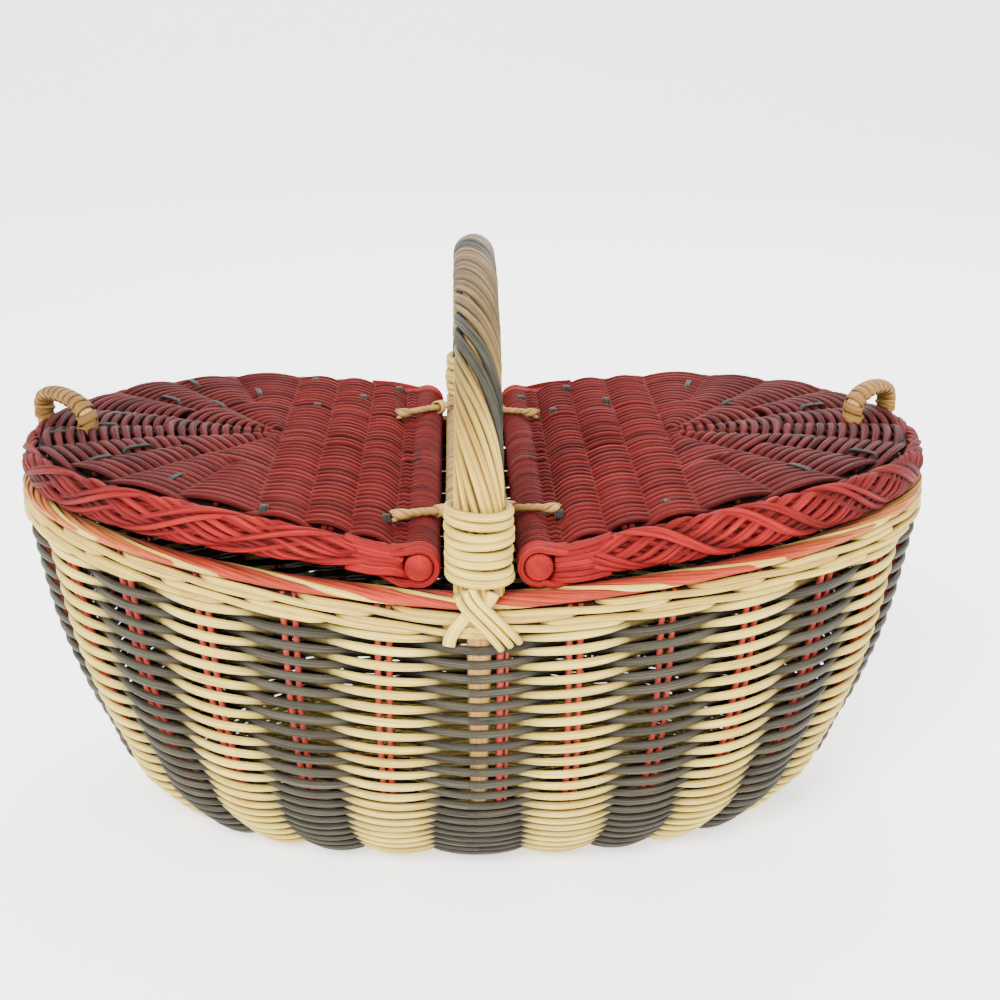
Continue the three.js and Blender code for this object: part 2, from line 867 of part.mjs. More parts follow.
// A tie from the lid's top over the dowel to the bar, on side -1 in front or 1 behind
function hingeTie(ends, side) {
  const lift = fitGap + tieHalfThickness;
  const [start, end] = ends.map(([x, inset]) => {
    return new THREE.Vector3(x, side * (dowelHalfLength - inset), barTop + lift);
  });
  start.setZ(lidTopAt(start.x) + lift);
  const towards = (x, z) => {
    return start.clone().lerp(end, (start.x - x) / (start.x - end.x)).setZ(z + lift);
  };
  const overDowel = towards(dowelOffset, dowelHeight + sleeveRadius);
  const overEdge = towards(barHalfWidth, barTop + lift);
  const line = [start, overDowel, overEdge, end];
  const rings = line.map((point, i) => {
    const along = directionAt(line, i);
    const across = along.clone().cross(upright).normalize();
    const up = across.clone().cross(along).normalize();
    return ovalRing(point, across, up, tieHalfWidth, tieHalfThickness, tieSides);
  });
  return skin(rings);
}

// The whole basket

const basket = new THREE.Group();
const stakeCutters = [];
for (let stake = 0; stake < stakeCount; stake += 1) {
  const name = `wall_stake_${String(stake + 1).padStart(2, '0')}`;
  basket.add(piece(name, stakeShape(stake, 0, 0, 0, 0), redReed));
  stakeCutters.push(stakeShape(stake, 2 * fitGap, fitGap, cutOverrun, cutOverrun));
}
const frontLegCutter = skin(legRings(fitGap, cutOverrun, cutOverrun));
const legCutters = [frontLegCutter, toBack(frontLegCutter)];
const bindings = bindingRings();
const lashing = joined(
  lashingStrap(-lashingSpread / 2, lashingSpread, lashingWideHalf),
  lashingStrap(lashingSpread / 2, -lashingSpread, lashingNarrowHalf),
);
basket.add(
  piece('base_panel', basePanel(), naturalReed),
  piece('side_wall', sideWall([...stakeCutters, ...legCutters]), darkReed),
  piece('wale_band', waleBand([...stakeCutters, ...legCutters]), naturalReed),
  piece('rim_border', rimBorder(legCutters), salmonReed),
  piece('handle_core', handleCore(), paleWood),
  piece('handle_wrap', handleWrap(), naturalReed),
  piece('front_handle_binding', skin(bindings), naturalReed),
  piece('back_handle_binding', toBack(skin(bindings)), naturalReed),
  piece('front_foot_lashing', lashing, naturalReed),
  piece('back_foot_lashing', toBack(lashing), naturalReed),
  piece('centre_bar_slat', barSlat(), paleWood),
  piece('centre_bar_wrap', barWrap(), naturalReed),
);

let leastCaneGap = Infinity;
for (const [side, place, sag, feet, frontTie, backTie] of [
  ['left', mirrored, 0, leftPullFeet, frontLeftTie, backLeftTie],
  ['right', (geometry) => geometry, rightPlaitSag, rightPullFeet, frontRightTie, backRightTie],
]) {
  const lid = new THREE.Group();
  const pull = arch(feet);
  const pullCutter = pullCore(pull, fitGap, lidThickness + cutOverrun);
  const cane = pullWrapRings(pull);
  leastCaneGap = Math.min(leastCaneGap, leastGap(cane, caneSteps));
  const dowel = dowelShape(dowelRadius, dowelHalfLength);
  lid.add(
    piece(`${side}_lid_dowel`, place(dowel), redReed),
    piece(`${side}_lid_panel`, place(lidPanel(pullCutter)), redReed),
    piece(`${side}_lid_plait`, place(cut(lidPlait(sag), [pullCutter])), redReed),
    piece(`${side}_pull_core`, place(pullCore(pull, 0, pullLegDepth)), paleWood),
    piece(`${side}_pull_wrap`, place(skin(cane)), naturalReed),
    piece(`front_${side}_hinge_tie`, place(hingeTie(frontTie, -1)), naturalReed),
    piece(`back_${side}_hinge_tie`, place(hingeTie(backTie, 1)), naturalReed),
  );
  lidStakeOffsets.forEach((offset, i) => {
    const stake = lidStake(offset, 0, panelReach(offset) - lidStakeMargin);
    lid.add(piece(`${side}_lid_stake_${i + 1}`, place(stake), redReed));
  });
  basket.add(lid);
}

console.log('least gap in a foot binding, mm:', leastGap(bindings, bindingSteps).toFixed(2));
console.log('least gap in a pull wrap, mm:', leastCaneGap.toFixed(2));

export default basket;
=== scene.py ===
import math

import bpy
import numpy as np
from mathutils import Matrix, Vector


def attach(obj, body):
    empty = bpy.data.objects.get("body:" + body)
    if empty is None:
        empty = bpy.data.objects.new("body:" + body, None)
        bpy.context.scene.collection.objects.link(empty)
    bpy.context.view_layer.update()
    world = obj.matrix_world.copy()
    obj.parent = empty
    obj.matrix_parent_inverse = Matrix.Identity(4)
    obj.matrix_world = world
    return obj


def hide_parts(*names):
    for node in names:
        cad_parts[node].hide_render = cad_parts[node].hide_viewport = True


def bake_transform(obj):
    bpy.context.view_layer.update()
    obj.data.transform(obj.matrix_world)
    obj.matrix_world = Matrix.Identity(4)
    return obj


# A picnic basket in woven reed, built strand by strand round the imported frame.
# Sizes of pieces are in millimetres, and makeMesh turns them into metres. Lights, floor, blends
# and where the materials start and stop are in metres.

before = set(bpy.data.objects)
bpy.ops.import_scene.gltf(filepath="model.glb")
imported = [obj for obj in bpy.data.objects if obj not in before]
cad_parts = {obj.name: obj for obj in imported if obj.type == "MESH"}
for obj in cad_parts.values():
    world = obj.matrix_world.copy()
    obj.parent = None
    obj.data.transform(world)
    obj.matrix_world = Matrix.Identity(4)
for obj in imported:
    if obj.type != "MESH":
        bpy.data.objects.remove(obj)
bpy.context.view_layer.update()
chance = np.random.default_rng(41)
upwards = np.array([0, 0, 1])
print("frame loaded")


def newBundle():
    return {"points": [], "faces": [], "sizes": [], "fibre": [], "tint": [], "paintedShade": [], "count": 0}


def unit(v):
    return v / np.maximum(np.linalg.norm(v, axis=-1, keepdims=True), 1e-9)


def sgnPow(v, power):
    return np.sign(v) * np.abs(v) ** power


def smooth(a, b, x):
    t = np.clip((x - a) / (b - a), 0, 1)
    return t * t * (3 - 2 * t)


def runOf(line):  # the length along a line, at each of its points
    return np.concatenate([[0], np.cumsum(np.linalg.norm(np.diff(line, axis=0), axis=1))])


def placesOn(line, run, places):
    return np.stack([np.interp(places, run, values) for values in line.T], -1)


def pointsAt(x, y, z):  # each may be one value for the whole line
    return np.stack(np.broadcast_arrays(x, y, z), -1)


def onPlan(plan, z):
    return np.concatenate([plan, z[:, None]], 1)


def around(across, up, turn, wide=1, high=1):  # places or directions on a ring about a line
    return across * (wide * np.cos(turn))[:, None] + up * (high * np.sin(turn))[:, None]


def outwards(along):
    return unit(pointsAt(along[:, 1], -along[:, 0], 0))


def through(p0, p1, p2, p3, t):  # a smooth curve from p1 to p2, between its neighbours
    return 0.5 * (2 * p1 + (p2 - p0) * t + (2 * p0 - 5 * p1 + 4 * p2 - p3) * t ** 2
                  + (3 * p1 - p0 - 3 * p2 + p3) * t ** 3)


def withEnds(points):
    return np.concatenate([[2 * points[0] - points[1]], points, [2 * points[-1] - points[-2]]])


def smoothPath(points, steps=14):
    points = np.asarray(points, float)
    padded = withEnds(points)
    t = np.linspace(0, 1, steps, endpoint=False)[:, None]
    out = [through(*four, t) for four in zip(padded, padded[1:], padded[2:], padded[3:])]
    return np.concatenate(out + [points[-1:]])


def slowNoise(count, amount, spread):  # a gentle closed random wave
    waves = np.arange(1, spread + 1)
    phase = chance.random(spread) * 2 * math.pi
    size = chance.random(spread) / np.sqrt(waves)
    t = np.linspace(0, 2 * math.pi, count, endpoint=False)[:, None]
    wave = (size * np.sin(waves * t + phase)).sum(1)
    return amount * wave / max(np.abs(wave).max(), 1e-9)


def slowOpen(count, amount):  # a gentle random wave along a line with two ends
    t = np.linspace(0, 1, count)
    phase = chance.random(3) * 2 * math.pi
    wave = sum(np.sin(2 * math.pi * k * t + p) / k for k, p in zip((1, 2, 3), phase))
    return amount * wave / 1.8


def weaveShape(phase, row):  # 1 where a row passes over a stake and -1 where it passes under
    return sgnPow(np.cos(math.pi * (phase - row)), 0.8)


# One strand of reed along a line of points. halfAcross and halfUp may change along it,
# up says which way its upper side faces, and power above 2 makes its section squarer. The shade values given
# to it are painted shade, and edge adds painted shade on its two edges and its underside.
def addStrand(bundle, line, halfAcross, halfUp, up, closed=False, sides=8, tint=None,
              paintedShade=0.0, power=2.0, turn=0.0, edge=0.42):
    line = np.asarray(line, float)
    n = len(line)
    if closed:
        tangent = np.roll(line, -1, 0) - np.roll(line, 1, 0)
    else:
        tangent = np.gradient(line, axis=0)
    tangent = unit(tangent)
    up = np.broadcast_to(np.asarray(up, float), (n, 3))
    up = unit(up - tangent * (up * tangent).sum(1, keepdims=True))
    across = np.cross(tangent, up)
    a = np.broadcast_to(np.asarray(halfAcross, float), (n,))[:, None]
    b = np.broadcast_to(np.asarray(halfUp, float), (n,))[:, None]
    angle = np.arange(sides) / sides * 2 * math.pi + turn
    ca = sgnPow(np.cos(angle), 2 / power)[None, :] * a
    sb = sgnPow(np.sin(angle), 2 / power)[None, :] * b
    ring = line[:, None] + across[:, None] * ca[..., None] + up[:, None] * sb[..., None]
    along = runOf(line)
    tint = chance.random() if tint is None else tint
    shift = chance.random() * 3000
    fibre = np.stack([np.broadcast_to((along + shift)[:, None], ca.shape), ca, sb], -1)
    base = bundle["count"]
    i = np.arange(n if closed else n - 1)[:, None]
    k = np.arange(sides)[None, :]
    k2 = (k + 1) % sides
    i2 = (i + 1) % n
    quads = np.stack([i * sides + k, i2 * sides + k, i2 * sides + k2, i * sides + k2], -1)
    bundle["faces"].append((quads.reshape(-1, 4) + base).ravel())
    bundle["sizes"].append(np.full(quads.shape[0] * quads.shape[1], 4))
    if not closed:
        ends = np.stack([np.arange(sides), (n - 1) * sides + np.arange(sides)[::-1]]) + base
        bundle["faces"].append(ends.ravel())
        bundle["sizes"].append(np.full(2, sides))
    bundle["points"].append(ring.reshape(-1, 3))
    bundle["fibre"].append(fibre.reshape(-1, 3))
    bundle["tint"].append(np.full(n * sides, tint))
    # painted shade darkens its two edges and its underside, so neighbours part in a dark line
    paintedEdgeShade = edge * np.abs(np.cos(angle)) ** 4 + 0.3 * edge * (np.sin(angle) < -0.3)
    paintedShade = np.broadcast_to(np.asarray(paintedShade, float), (n,))[:, None] + paintedEdgeShade[None, :]
    bundle["paintedShade"].append(paintedShade.ravel())
    bundle["count"] += n * sides


def mirrorBundle(bundle):
    copy = {key: list(value) if isinstance(value, list) else value for key, value in bundle.items()}
    copy["points"] = [points * [-1, 1, 1] for points in bundle["points"]]
    copy["faces"] = []
    for faces, sizes in zip(bundle["faces"], bundle["sizes"]):
        copy["faces"].append(faces.reshape(-1, sizes[0])[:, ::-1].ravel())
    return copy


def placed(name, data):
    made = bpy.data.objects.new(name, data)
    bpy.context.scene.collection.objects.link(made)
    return made


def makeMesh(name, bundle, material, body, nodes):
    points = np.concatenate(bundle["points"]) * 0.001
    corners = np.concatenate(bundle["faces"]).astype(np.int32)
    sizes = np.concatenate(bundle["sizes"]).astype(np.int32)
    mesh = bpy.data.meshes.new(name)
    mesh.vertices.add(len(points))
    mesh.vertices.foreach_set("co", points.astype(np.float32).ravel())
    mesh.loops.add(len(corners))
    mesh.loops.foreach_set("vertex_index", corners)
    mesh.polygons.add(len(sizes))
    starts = np.concatenate([[0], np.cumsum(sizes)[:-1]]).astype(np.int32)
    mesh.polygons.foreach_set("loop_start", starts)
    mesh.update(calc_edges=True)
    mesh.polygons.foreach_set("use_smooth", np.ones(len(sizes), bool))
    fibre = mesh.attributes.new("fibre", "FLOAT_VECTOR", "POINT")
    fibre.data.foreach_set("vector", (np.concatenate(bundle["fibre"]) * 0.001).astype(np.float32).ravel())
    for key in ("tint", "paintedShade"):
        values = mesh.attributes.new(key, "FLOAT", "POINT")
        values.data.foreach_set("value", np.concatenate(bundle[key]).astype(np.float32))
    mesh.materials.append(material)
    piece = placed(name, mesh)
    if body:
        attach(piece, body)
    if nodes:
        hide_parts(*nodes)
    return piece


def newGroup(name, inputs, outputs):
    group = bpy.data.node_groups.new(name, "ShaderNodeTree")
    for label, kind, value in inputs:
        socket = group.interface.new_socket(name=label, in_out="INPUT", socket_type=kind)
        socket.default_value = value
    for label, kind in outputs:
        group.interface.new_socket(name=label, in_out="OUTPUT", socket_type=kind)
    return group, group.nodes.new("NodeGroupInput"), group.nodes.new("NodeGroupOutput")


def feed(tree, made, inputs):  # links or sets a node's inputs
    for key, value in inputs.items():
        if isinstance(value, bpy.types.NodeSocket):
            tree.links.new(value, made.inputs[key])
        else:
            made.inputs[key].default_value = value


def node(tree, kind, inputs=None, **settings):
    made = tree.nodes.new(kind)
    for key, value in settings.items():
        setattr(made, key, value)
    feed(tree, made, inputs or {})
    return made


def mathNode(tree, operation, a, b=0.0, clamp=False):
    return node(tree, "ShaderNodeMath", {0: a, 1: b}, operation=operation, use_clamp=clamp).outputs[0]


def mixColour(tree, factor, a, b):
    return node(tree, "ShaderNodeMix", {"Factor": factor, 6: a, 7: b}, data_type="RGBA").outputs[2]


def colour(r, g, b):
    return tuple((c / 255) ** 2.2 for c in (r, g, b)) + (1.0,)


def newMaterial(name):
    material = bpy.data.materials.new(name)
    material.use_nodes = True
    return material, material.node_tree, material.node_tree.nodes["Principled BSDF"]


# Long fibres and specks of one reed, and its painted shade, from its own fibre coordinates
def reedFibreGroup():
    group, given, result = newGroup(
        "reedFibre",
        [("Light", "NodeSocketColor", (1, 1, 1, 1)), ("Dark", "NodeSocketColor", (0, 0, 0, 1)),
         ("Painted shade colour", "NodeSocketColor", (0.05, 0.03, 0.02, 1)), ("Streak length", "NodeSocketFloat", 40),
         ("Streak width", "NodeSocketFloat", 1800), ("Streak", "NodeSocketFloat", 0.5),
         ("Patch", "NodeSocketFloat", 0.5), ("Strand", "NodeSocketFloat", 0.5),
         ("Painted shade strength", "NodeSocketFloat", 0.8)],
        [("Color", "NodeSocketColor"), ("Height", "NodeSocketFloat"), ("Roughness", "NodeSocketFloat")])
    fibre = node(group, "ShaderNodeAttribute", attribute_name="fibre")
    tint = node(group, "ShaderNodeAttribute", attribute_name="tint")
    paintedShade = node(group, "ShaderNodeAttribute", attribute_name="paintedShade")
    scale = node(group, "ShaderNodeCombineXYZ", {
        "X": given.outputs["Streak length"], "Y": given.outputs["Streak width"],
        "Z": given.outputs["Streak width"]})
    stretched = node(group, "ShaderNodeVectorMath", {0: fibre.outputs["Vector"], 1: scale.outputs[0]},
                     operation="MULTIPLY")
    fine = node(group, "ShaderNodeTexNoise", {"Vector": stretched.outputs[0], "Scale": 1.0, "Detail": 6.0,
                                              "Roughness": 0.62})
    broad = node(group, "ShaderNodeTexNoise", {"Vector": fibre.outputs["Vector"], "Scale": 55.0,
                                               "Detail": 3.0})
    streak = node(group, "ShaderNodeMapRange", {"Value": fine.outputs[0], "From Min": 0.38, "From Max": 0.62})
    patch = node(group, "ShaderNodeMapRange", {"Value": broad.outputs[0], "From Min": 0.32, "From Max": 0.68})
    streakPart = mathNode(group, "MULTIPLY", streak.outputs[0], given.outputs["Streak"])
    patchPart = mathNode(group, "MULTIPLY", patch.outputs[0], given.outputs["Patch"])
    strandPart = mathNode(group, "MULTIPLY", tint.outputs["Fac"], given.outputs["Strand"])
    total = mathNode(group, "ADD", mathNode(group, "ADD", streakPart, patchPart), strandPart)
    weight = mathNode(group, "ADD", mathNode(group, "ADD", given.outputs["Streak"],
                                             given.outputs["Patch"]), given.outputs["Strand"])
    share = mathNode(group, "DIVIDE", total, weight)
    body = mixColour(group, share, given.outputs["Dark"], given.outputs["Light"])
    # painted shade: the shade value on each point mixes in the dark shade colour
    shadeShare = mathNode(group, "MULTIPLY", paintedShade.outputs["Fac"], given.outputs["Painted shade strength"], clamp=True)
    shade = mixColour(group, shadeShare, body, given.outputs["Painted shade colour"])
    group.links.new(shade, result.inputs["Color"])
    group.links.new(streak.outputs[0], result.inputs["Height"])
    rough = node(group, "ShaderNodeMapRange", {"Value": streak.outputs[0], "To Min": 0.72, "To Max": 0.5})
    group.links.new(rough.outputs[0], result.inputs["Roughness"])
    return group


reedFibre = reedFibreGroup()


surface = {"patch": 0.4, "bump": 0.7, "bumpDepth": 0.0004}


# A reed material. ends gives a second pair of colours that takes over along an axis. A third, dark colour is
# its painted shade, with a strength for how much of it shows.
def reedMaterial(name, light, dark, paintedShadeColour=(40, 26, 18), streak=0.5, strand=0.5,
                 paintedShadeStrength=0.8, length=16, width=1700, ends=None, sheen=0.25):
    material, tree, shader = newMaterial(name)
    lightColour, darkColour = colour(*light), colour(*dark)
    if ends:
        where = node(tree, "ShaderNodeTexCoord")
        split = node(tree, "ShaderNodeSeparateXYZ", {0: where.outputs["Object"]})
        value = split.outputs[ends["axis"]]
        if ends.get("both"):
            value = mathNode(tree, "ABSOLUTE", value)
        share = node(tree, "ShaderNodeMapRange", {
            "Value": value, "From Min": ends["start"], "From Max": ends["stop"]},
            interpolation_type="SMOOTHSTEP").outputs[0]
        lightColour = mixColour(tree, share, lightColour, colour(*ends["light"]))
        darkColour = mixColour(tree, share, darkColour, colour(*ends["dark"]))
    fibres = node(tree, "ShaderNodeGroup", {
        "Light": lightColour, "Dark": darkColour, "Painted shade colour": colour(*paintedShadeColour), "Streak length": length,
        "Streak width": width, "Streak": streak, "Patch": surface["patch"], "Strand": strand,
        "Painted shade strength": paintedShadeStrength}, node_tree=reedFibre)
    bumps = node(tree, "ShaderNodeBump", {"Strength": surface["bump"], "Distance": surface["bumpDepth"],
                                          "Height": fibres.outputs["Height"]})
    feed(tree, shader, {"Base Color": fibres.outputs["Color"], "Roughness": fibres.outputs["Roughness"],
                        "Normal": bumps.outputs[0], "Specular IOR Level": sheen})
    return material


# where a third dark colour is given below, it is the colour of the painted shade
naturalReed = reedMaterial("naturalReed", (248, 228, 116), (160, 118, 48), streak=1.1, paintedShadeStrength=1.0)
darkReed = reedMaterial("darkStainedReed", (82, 76, 60), (9, 8, 6), paintedShadeColour=(6, 6, 5), streak=1.3, paintedShadeStrength=1.0)
stakeRed = reedMaterial("stakeRedReed", (208, 84, 66), (146, 40, 32), paintedShadeColour=(44, 10, 8), paintedShadeStrength=0.6)
borderSalmon = reedMaterial(
    "borderSalmonReed", (184, 62, 34), (92, 24, 12), paintedShadeColour=(24, 6, 4), streak=1.1, strand=0.9, paintedShadeStrength=1.0,
    ends={"axis": 0, "both": True, "start": 0.12, "stop": 0.21,
          "light": (214, 130, 66), "dark": (132, 60, 28)})
lidRed = reedMaterial(
    "lidRedReed", (122, 36, 33), (36, 8, 8), paintedShadeColour=(9, 2, 2), streak=1.2, strand=0.7, paintedShadeStrength=1.0, sheen=0.08,
    ends={"axis": 0, "both": True, "start": 0.07, "stop": 0.17, "light": (98, 37, 36), "dark": (27, 9, 9)})
plaitRed = reedMaterial(
    "plaitRedReed", (172, 40, 38), (64, 9, 9), paintedShadeColour=(16, 2, 2), streak=1.1, strand=0.9, paintedShadeStrength=1.0,
    sheen=0.12, ends={"axis": 0, "both": True, "start": 0.12, "stop": 0.21,
                      "light": (128, 40, 38), "dark": (58, 13, 14)})
bandReed = reedMaterial(
    "bandNaturalReed", (244, 216, 102), (142, 98, 38), streak=1.1, strand=0.8, paintedShadeStrength=1.0)
handleReed = reedMaterial(
    "handleNaturalReed", (244, 208, 92), (132, 86, 30), streak=1.1, strand=0.7, paintedShadeStrength=1.0,
    ends={"axis": 2, "start": 0.2, "stop": 0.26, "light": (138, 114, 72), "dark": (62, 46, 26)})
handleDark = reedMaterial("handleDarkReed", (84, 82, 66), (12, 12, 10), streak=0.9)
stitchDark = reedMaterial("stitchDarkReed", (52, 52, 44), (14, 14, 12))
caneTan = reedMaterial("caneTan", (168, 122, 60), (62, 42, 20), streak=1.0)
coreWood = reedMaterial("coreWood", (226, 176, 98), (138, 92, 44), streak=0.9, length=25, width=900)
bindingReed = reedMaterial("bindingReed", (248, 222, 104), (146, 96, 36), streak=1.1)
barFibre = reedMaterial("barFibre", (190, 152, 92), (76, 52, 28), streak=0.8, strand=0.9)
tieFibre = reedMaterial("tieFibre", (224, 176, 98), (116, 76, 34), streak=1.1)
print("materials made")


cameraFit = {"distance": 900, "elevation": 17.7, "azimuth": -1.56, "target": (12.9, 0, 148.9),
             "lens": 63.12, "roll": 0.2}


def placeCamera():
    azimuth = math.radians(cameraFit["azimuth"])
    elevation = math.radians(cameraFit["elevation"])
    back = Vector((math.sin(azimuth) * math.cos(elevation), -math.cos(azimuth) * math.cos(elevation),
                   math.sin(elevation)))
    data = bpy.data.cameras.new("photoCamera")
    data.lens = cameraFit["lens"]
    data.sensor_width = 36
    data.clip_start = 0.01
    camera = placed("photoCamera", data)
    turn = back.to_track_quat("Z", "Y").to_matrix().to_4x4()
    place = Matrix.Translation((Vector(cameraFit["target"]) + back * cameraFit["distance"]) * 0.001)
    camera.matrix_world = place @ turn @ Matrix.Rotation(math.radians(cameraFit["roll"]), 4, "Z")
    bpy.context.scene.camera = camera


studio = {"floor": (254, 254, 254), "glow": 1.3, "world": 1.05, "roughness": 0.9, "reach": 30, "coveAt": 2.2,
          "coveRadius": 0.9, "coveTop": 3.5, "aim": (0, 0, 0.1),
          "lights": {"keyLight": (130, 0.9, (-0.6, -1.7, 1.5)), "fillLight": (26, 1.5, (1.4, -1.1, 0.9)),
                     "backLight": (40, 1.2, (0.3, 1.3, 1.6))}}


def addLight(name, energy, size, place):
    data = bpy.data.lights.new(name, "AREA")
    data.energy = energy
    data.size = size
    lamp = placed(name, data)
    direction = Vector(studio["aim"]) - Vector(place)
    lamp.matrix_world = Matrix.Translation(place) @ direction.to_track_quat("-Z", "Y").to_matrix().to_4x4()


def placeStudio():
    world = bpy.data.worlds.new("softRoom")
    world.use_nodes = True
    feed(world.node_tree, world.node_tree.nodes["Background"],
         {"Color": (1, 0.99, 0.97, 1), "Strength": studio["world"]})
    bpy.context.scene.world = world
    for name, (energy, size, place) in studio["lights"].items():
        addLight(name, energy, size, place)
    start, radius = studio["coveAt"], studio["coveRadius"]
    profile = [(-studio["reach"], 0.0), (start, 0.0)]
    profile += [(start + radius * math.sin(a), radius - radius * math.cos(a))
                for a in np.linspace(0.1, math.pi / 2, 14)]
    profile.append((start + radius, studio["coveTop"]))
    verts = [(x, y, z) for y, z in profile for x in (-studio["reach"], studio["reach"])]
    faces = [(2 * i, 2 * i + 1, 2 * i + 3, 2 * i + 2) for i in range(len(profile) - 1)]
    mesh = bpy.data.meshes.new("floor")
    mesh.from_pydata(verts, [], faces)
    mesh.polygons.foreach_set("use_smooth", np.ones(len(faces), bool))
    material, tree, shader = newMaterial("paleFloor")
    feed(tree, shader, {"Base Color": colour(*studio["floor"]), "Roughness": studio["roughness"],
                        "Emission Color": (1, 1, 1, 1), "Emission Strength": studio["glow"]})
    mesh.materials.append(material)
    floor = placed("floor", mesh)


placeCamera()
placeStudio()
print("camera, light and floor placed")


wall = {"planPower": 2.1, "basePower": 2.5, "rimLength": 220, "rimWidth": 147, "baseLength": 153,
        "baseWidth": 97.5, "height": 133, "foot": 5, "endRise": 21, "risePower": 1.15, "stakes": 28,
        "levelSteps": 40, "heights": [0, 0.052, 0.172, 0.298, 0.449, 0.68, 1],
        "lengths": [0, 0.119, 0.373, 0.493, 0.657, 0.845, 1],
        "widths": [0, 0.246, 0.528, 0.754, 0.909, 0.975, 1]}


def oval(halfLength, halfWidth, angle, planPower=wall["planPower"]):
    power = 2 / planPower
    return np.stack([halfLength * sgnPow(np.sin(angle), power),
                     -halfWidth * sgnPow(np.cos(angle), power)], -1)


def rimPlan(angle):
    return oval(wall["rimLength"], wall["rimWidth"], angle)


topLevel = len(wall["heights"]) - 1
fineAngles = np.linspace(0, 2 * math.pi, 4001)
rimRun = runOf(rimPlan(fineAngles))


def angleAt(column):  # column 0 is the stake in the middle of the front
    share = np.asarray(column, float) / wall["stakes"]
    whole = np.floor(share)
    return np.interp((share - whole) * rimRun[-1], rimRun, fineAngles) + whole * 2 * math.pi


def columnsBy(steps):  # steps places from each stake to the next, all the way round
    return np.arange(wall["stakes"] * steps) / steps


def riseAt(x):
    return wall["endRise"] * np.abs(np.asarray(x) / wall["rimLength"]) ** wall["risePower"]


fineLevels = np.linspace(0, topLevel, topLevel * wall["levelSteps"] + 1)
levelCurves = {key: smoothPath(np.array(wall[key], float)[:, None], wall["levelSteps"])[:, 0]
               for key in ("heights", "lengths", "widths")}


def wallMiddle(angle, level):
    angle, level = np.broadcast_arrays(np.asarray(angle, float), np.asarray(level, float))
    at = {key: np.interp(level, fineLevels, curve) for key, curve in levelCurves.items()}
    halfLength = wall["baseLength"] + (wall["rimLength"] - wall["baseLength"]) * at["lengths"]
    halfWidth = wall["baseWidth"] + (wall["rimWidth"] - wall["baseWidth"]) * at["widths"]
    planPower = wall["basePower"] + (wall["planPower"] - wall["basePower"]) * level / topLevel
    plan = oval(halfLength, halfWidth, angle, planPower)
    top = wall["height"] + riseAt(rimPlan(angle)[..., 0])
    z = wall["foot"] + (top - wall["foot"]) * at["heights"]
    return np.concatenate([plan, z[..., None]], -1)


def wallFrame(angle, level):  # middle, outward normal and up-slope direction
    turnStep, levelStep = 0.02, 0.06
    angle, level = np.asarray(angle), np.asarray(level)
    middle = wallMiddle(angle, level)
    along = wallMiddle(angle + turnStep, level) - wallMiddle(angle - turnStep, level)
    low, high = np.clip(level - levelStep, 0, topLevel), np.clip(level + levelStep, 0, topLevel)
    up = unit(wallMiddle(angle, high) - wallMiddle(angle, low))
    return middle, unit(np.cross(unit(along), up)), up


weave = {"rows": 46, "reed": 1.6, "swing": 3.15, "pitchGain": 1.2, "columnSteps": 10, "waver": 0.3,
         "firstRow": 1.4, "lastRow": 1.7, "usualGap": 3.15, "leastHalf": 1.6, "mostHalf": 2.05,
         "plainShare": 0.96, "crestGain": 0.3, "hiddenGain": 0.55, "uneven": 0.06}


def rowLevels():
    levels = np.linspace(0, topLevel, 601)
    run = runOf(wallMiddle(np.zeros(len(levels)), levels))
    pitches = np.linspace(1, weave["pitchGain"], weave["rows"] - 1)
    places = np.concatenate([[0], np.cumsum(pitches)])
    places = weave["firstRow"] + places / places[-1] * (run[-1] - weave["firstRow"] - weave["lastRow"])
    return np.interp(places, run, levels)


def buildWall():
    natural, dark = newBundle(), newBundle()
    column = columnsBy(weave["columnSteps"])
    count = len(column)
    angle = angleAt(column)
    levels = rowLevels()
    for row, level in enumerate(levels):
        swing = weaveShape(column, row % 2)
        middle, normal, up = wallFrame(angle, np.full(count, level))
        nextLevel = levels[min(row + 1, len(levels) - 1)]
        lastLevel = levels[max(row - 1, 0)]
        gap = np.linalg.norm(wallMiddle(angle, nextLevel) - wallMiddle(angle, lastLevel), axis=1)
        gap /= 2 if 0 < row < len(levels) - 1 else 1
        line = middle + normal * (swing * weave["swing"])[:, None]
        line += up * slowNoise(count, weave["waver"], 40)[:, None]
        over = np.clip(swing, 0, 1)
        halfUp = np.clip(weave["reed"] * gap / weave["usualGap"], weave["leastHalf"], weave["mostHalf"])
        halfUp *= weave["plainShare"] + weave["crestGain"] * over
        halfUp *= 1 + slowNoise(count, weave["uneven"], 30) + weave["hiddenGain"] * smooth(0.1, -0.7, swing)
        # painted shade where a row passes behind a stake and beside each crossing
        paintedShade = 0.8 * smooth(0.2, -0.6, swing) + 0.35 * smooth(0.7, 0.1, np.abs(swing))
        addStrand(natural if row % 2 else dark, line, halfUp, weave["reed"], normal, closed=True,
                  paintedShade=paintedShade)
    makeMesh("wallWeaveNatural", natural, naturalReed, "basket", ["side_wall"])
    makeMesh("wallWeaveDark", dark, darkReed, "basket", ["side_wall"])


stakes = {"radius": 1.55, "lowHalf": 1.75, "topHalf": 2.6, "headroom": 12, "bottom": 0.1,
          "centreShift": 9.0, "thickShare": 1.15, "thinRadius": 0.85, "thinShift": 3.2, "waver": 0.35}


def sideOf(side, shift):  # side points towards growing column numbers
    shift = np.broadcast_to(np.asarray(shift, float), (len(side),))
    return side * shift[:, None]


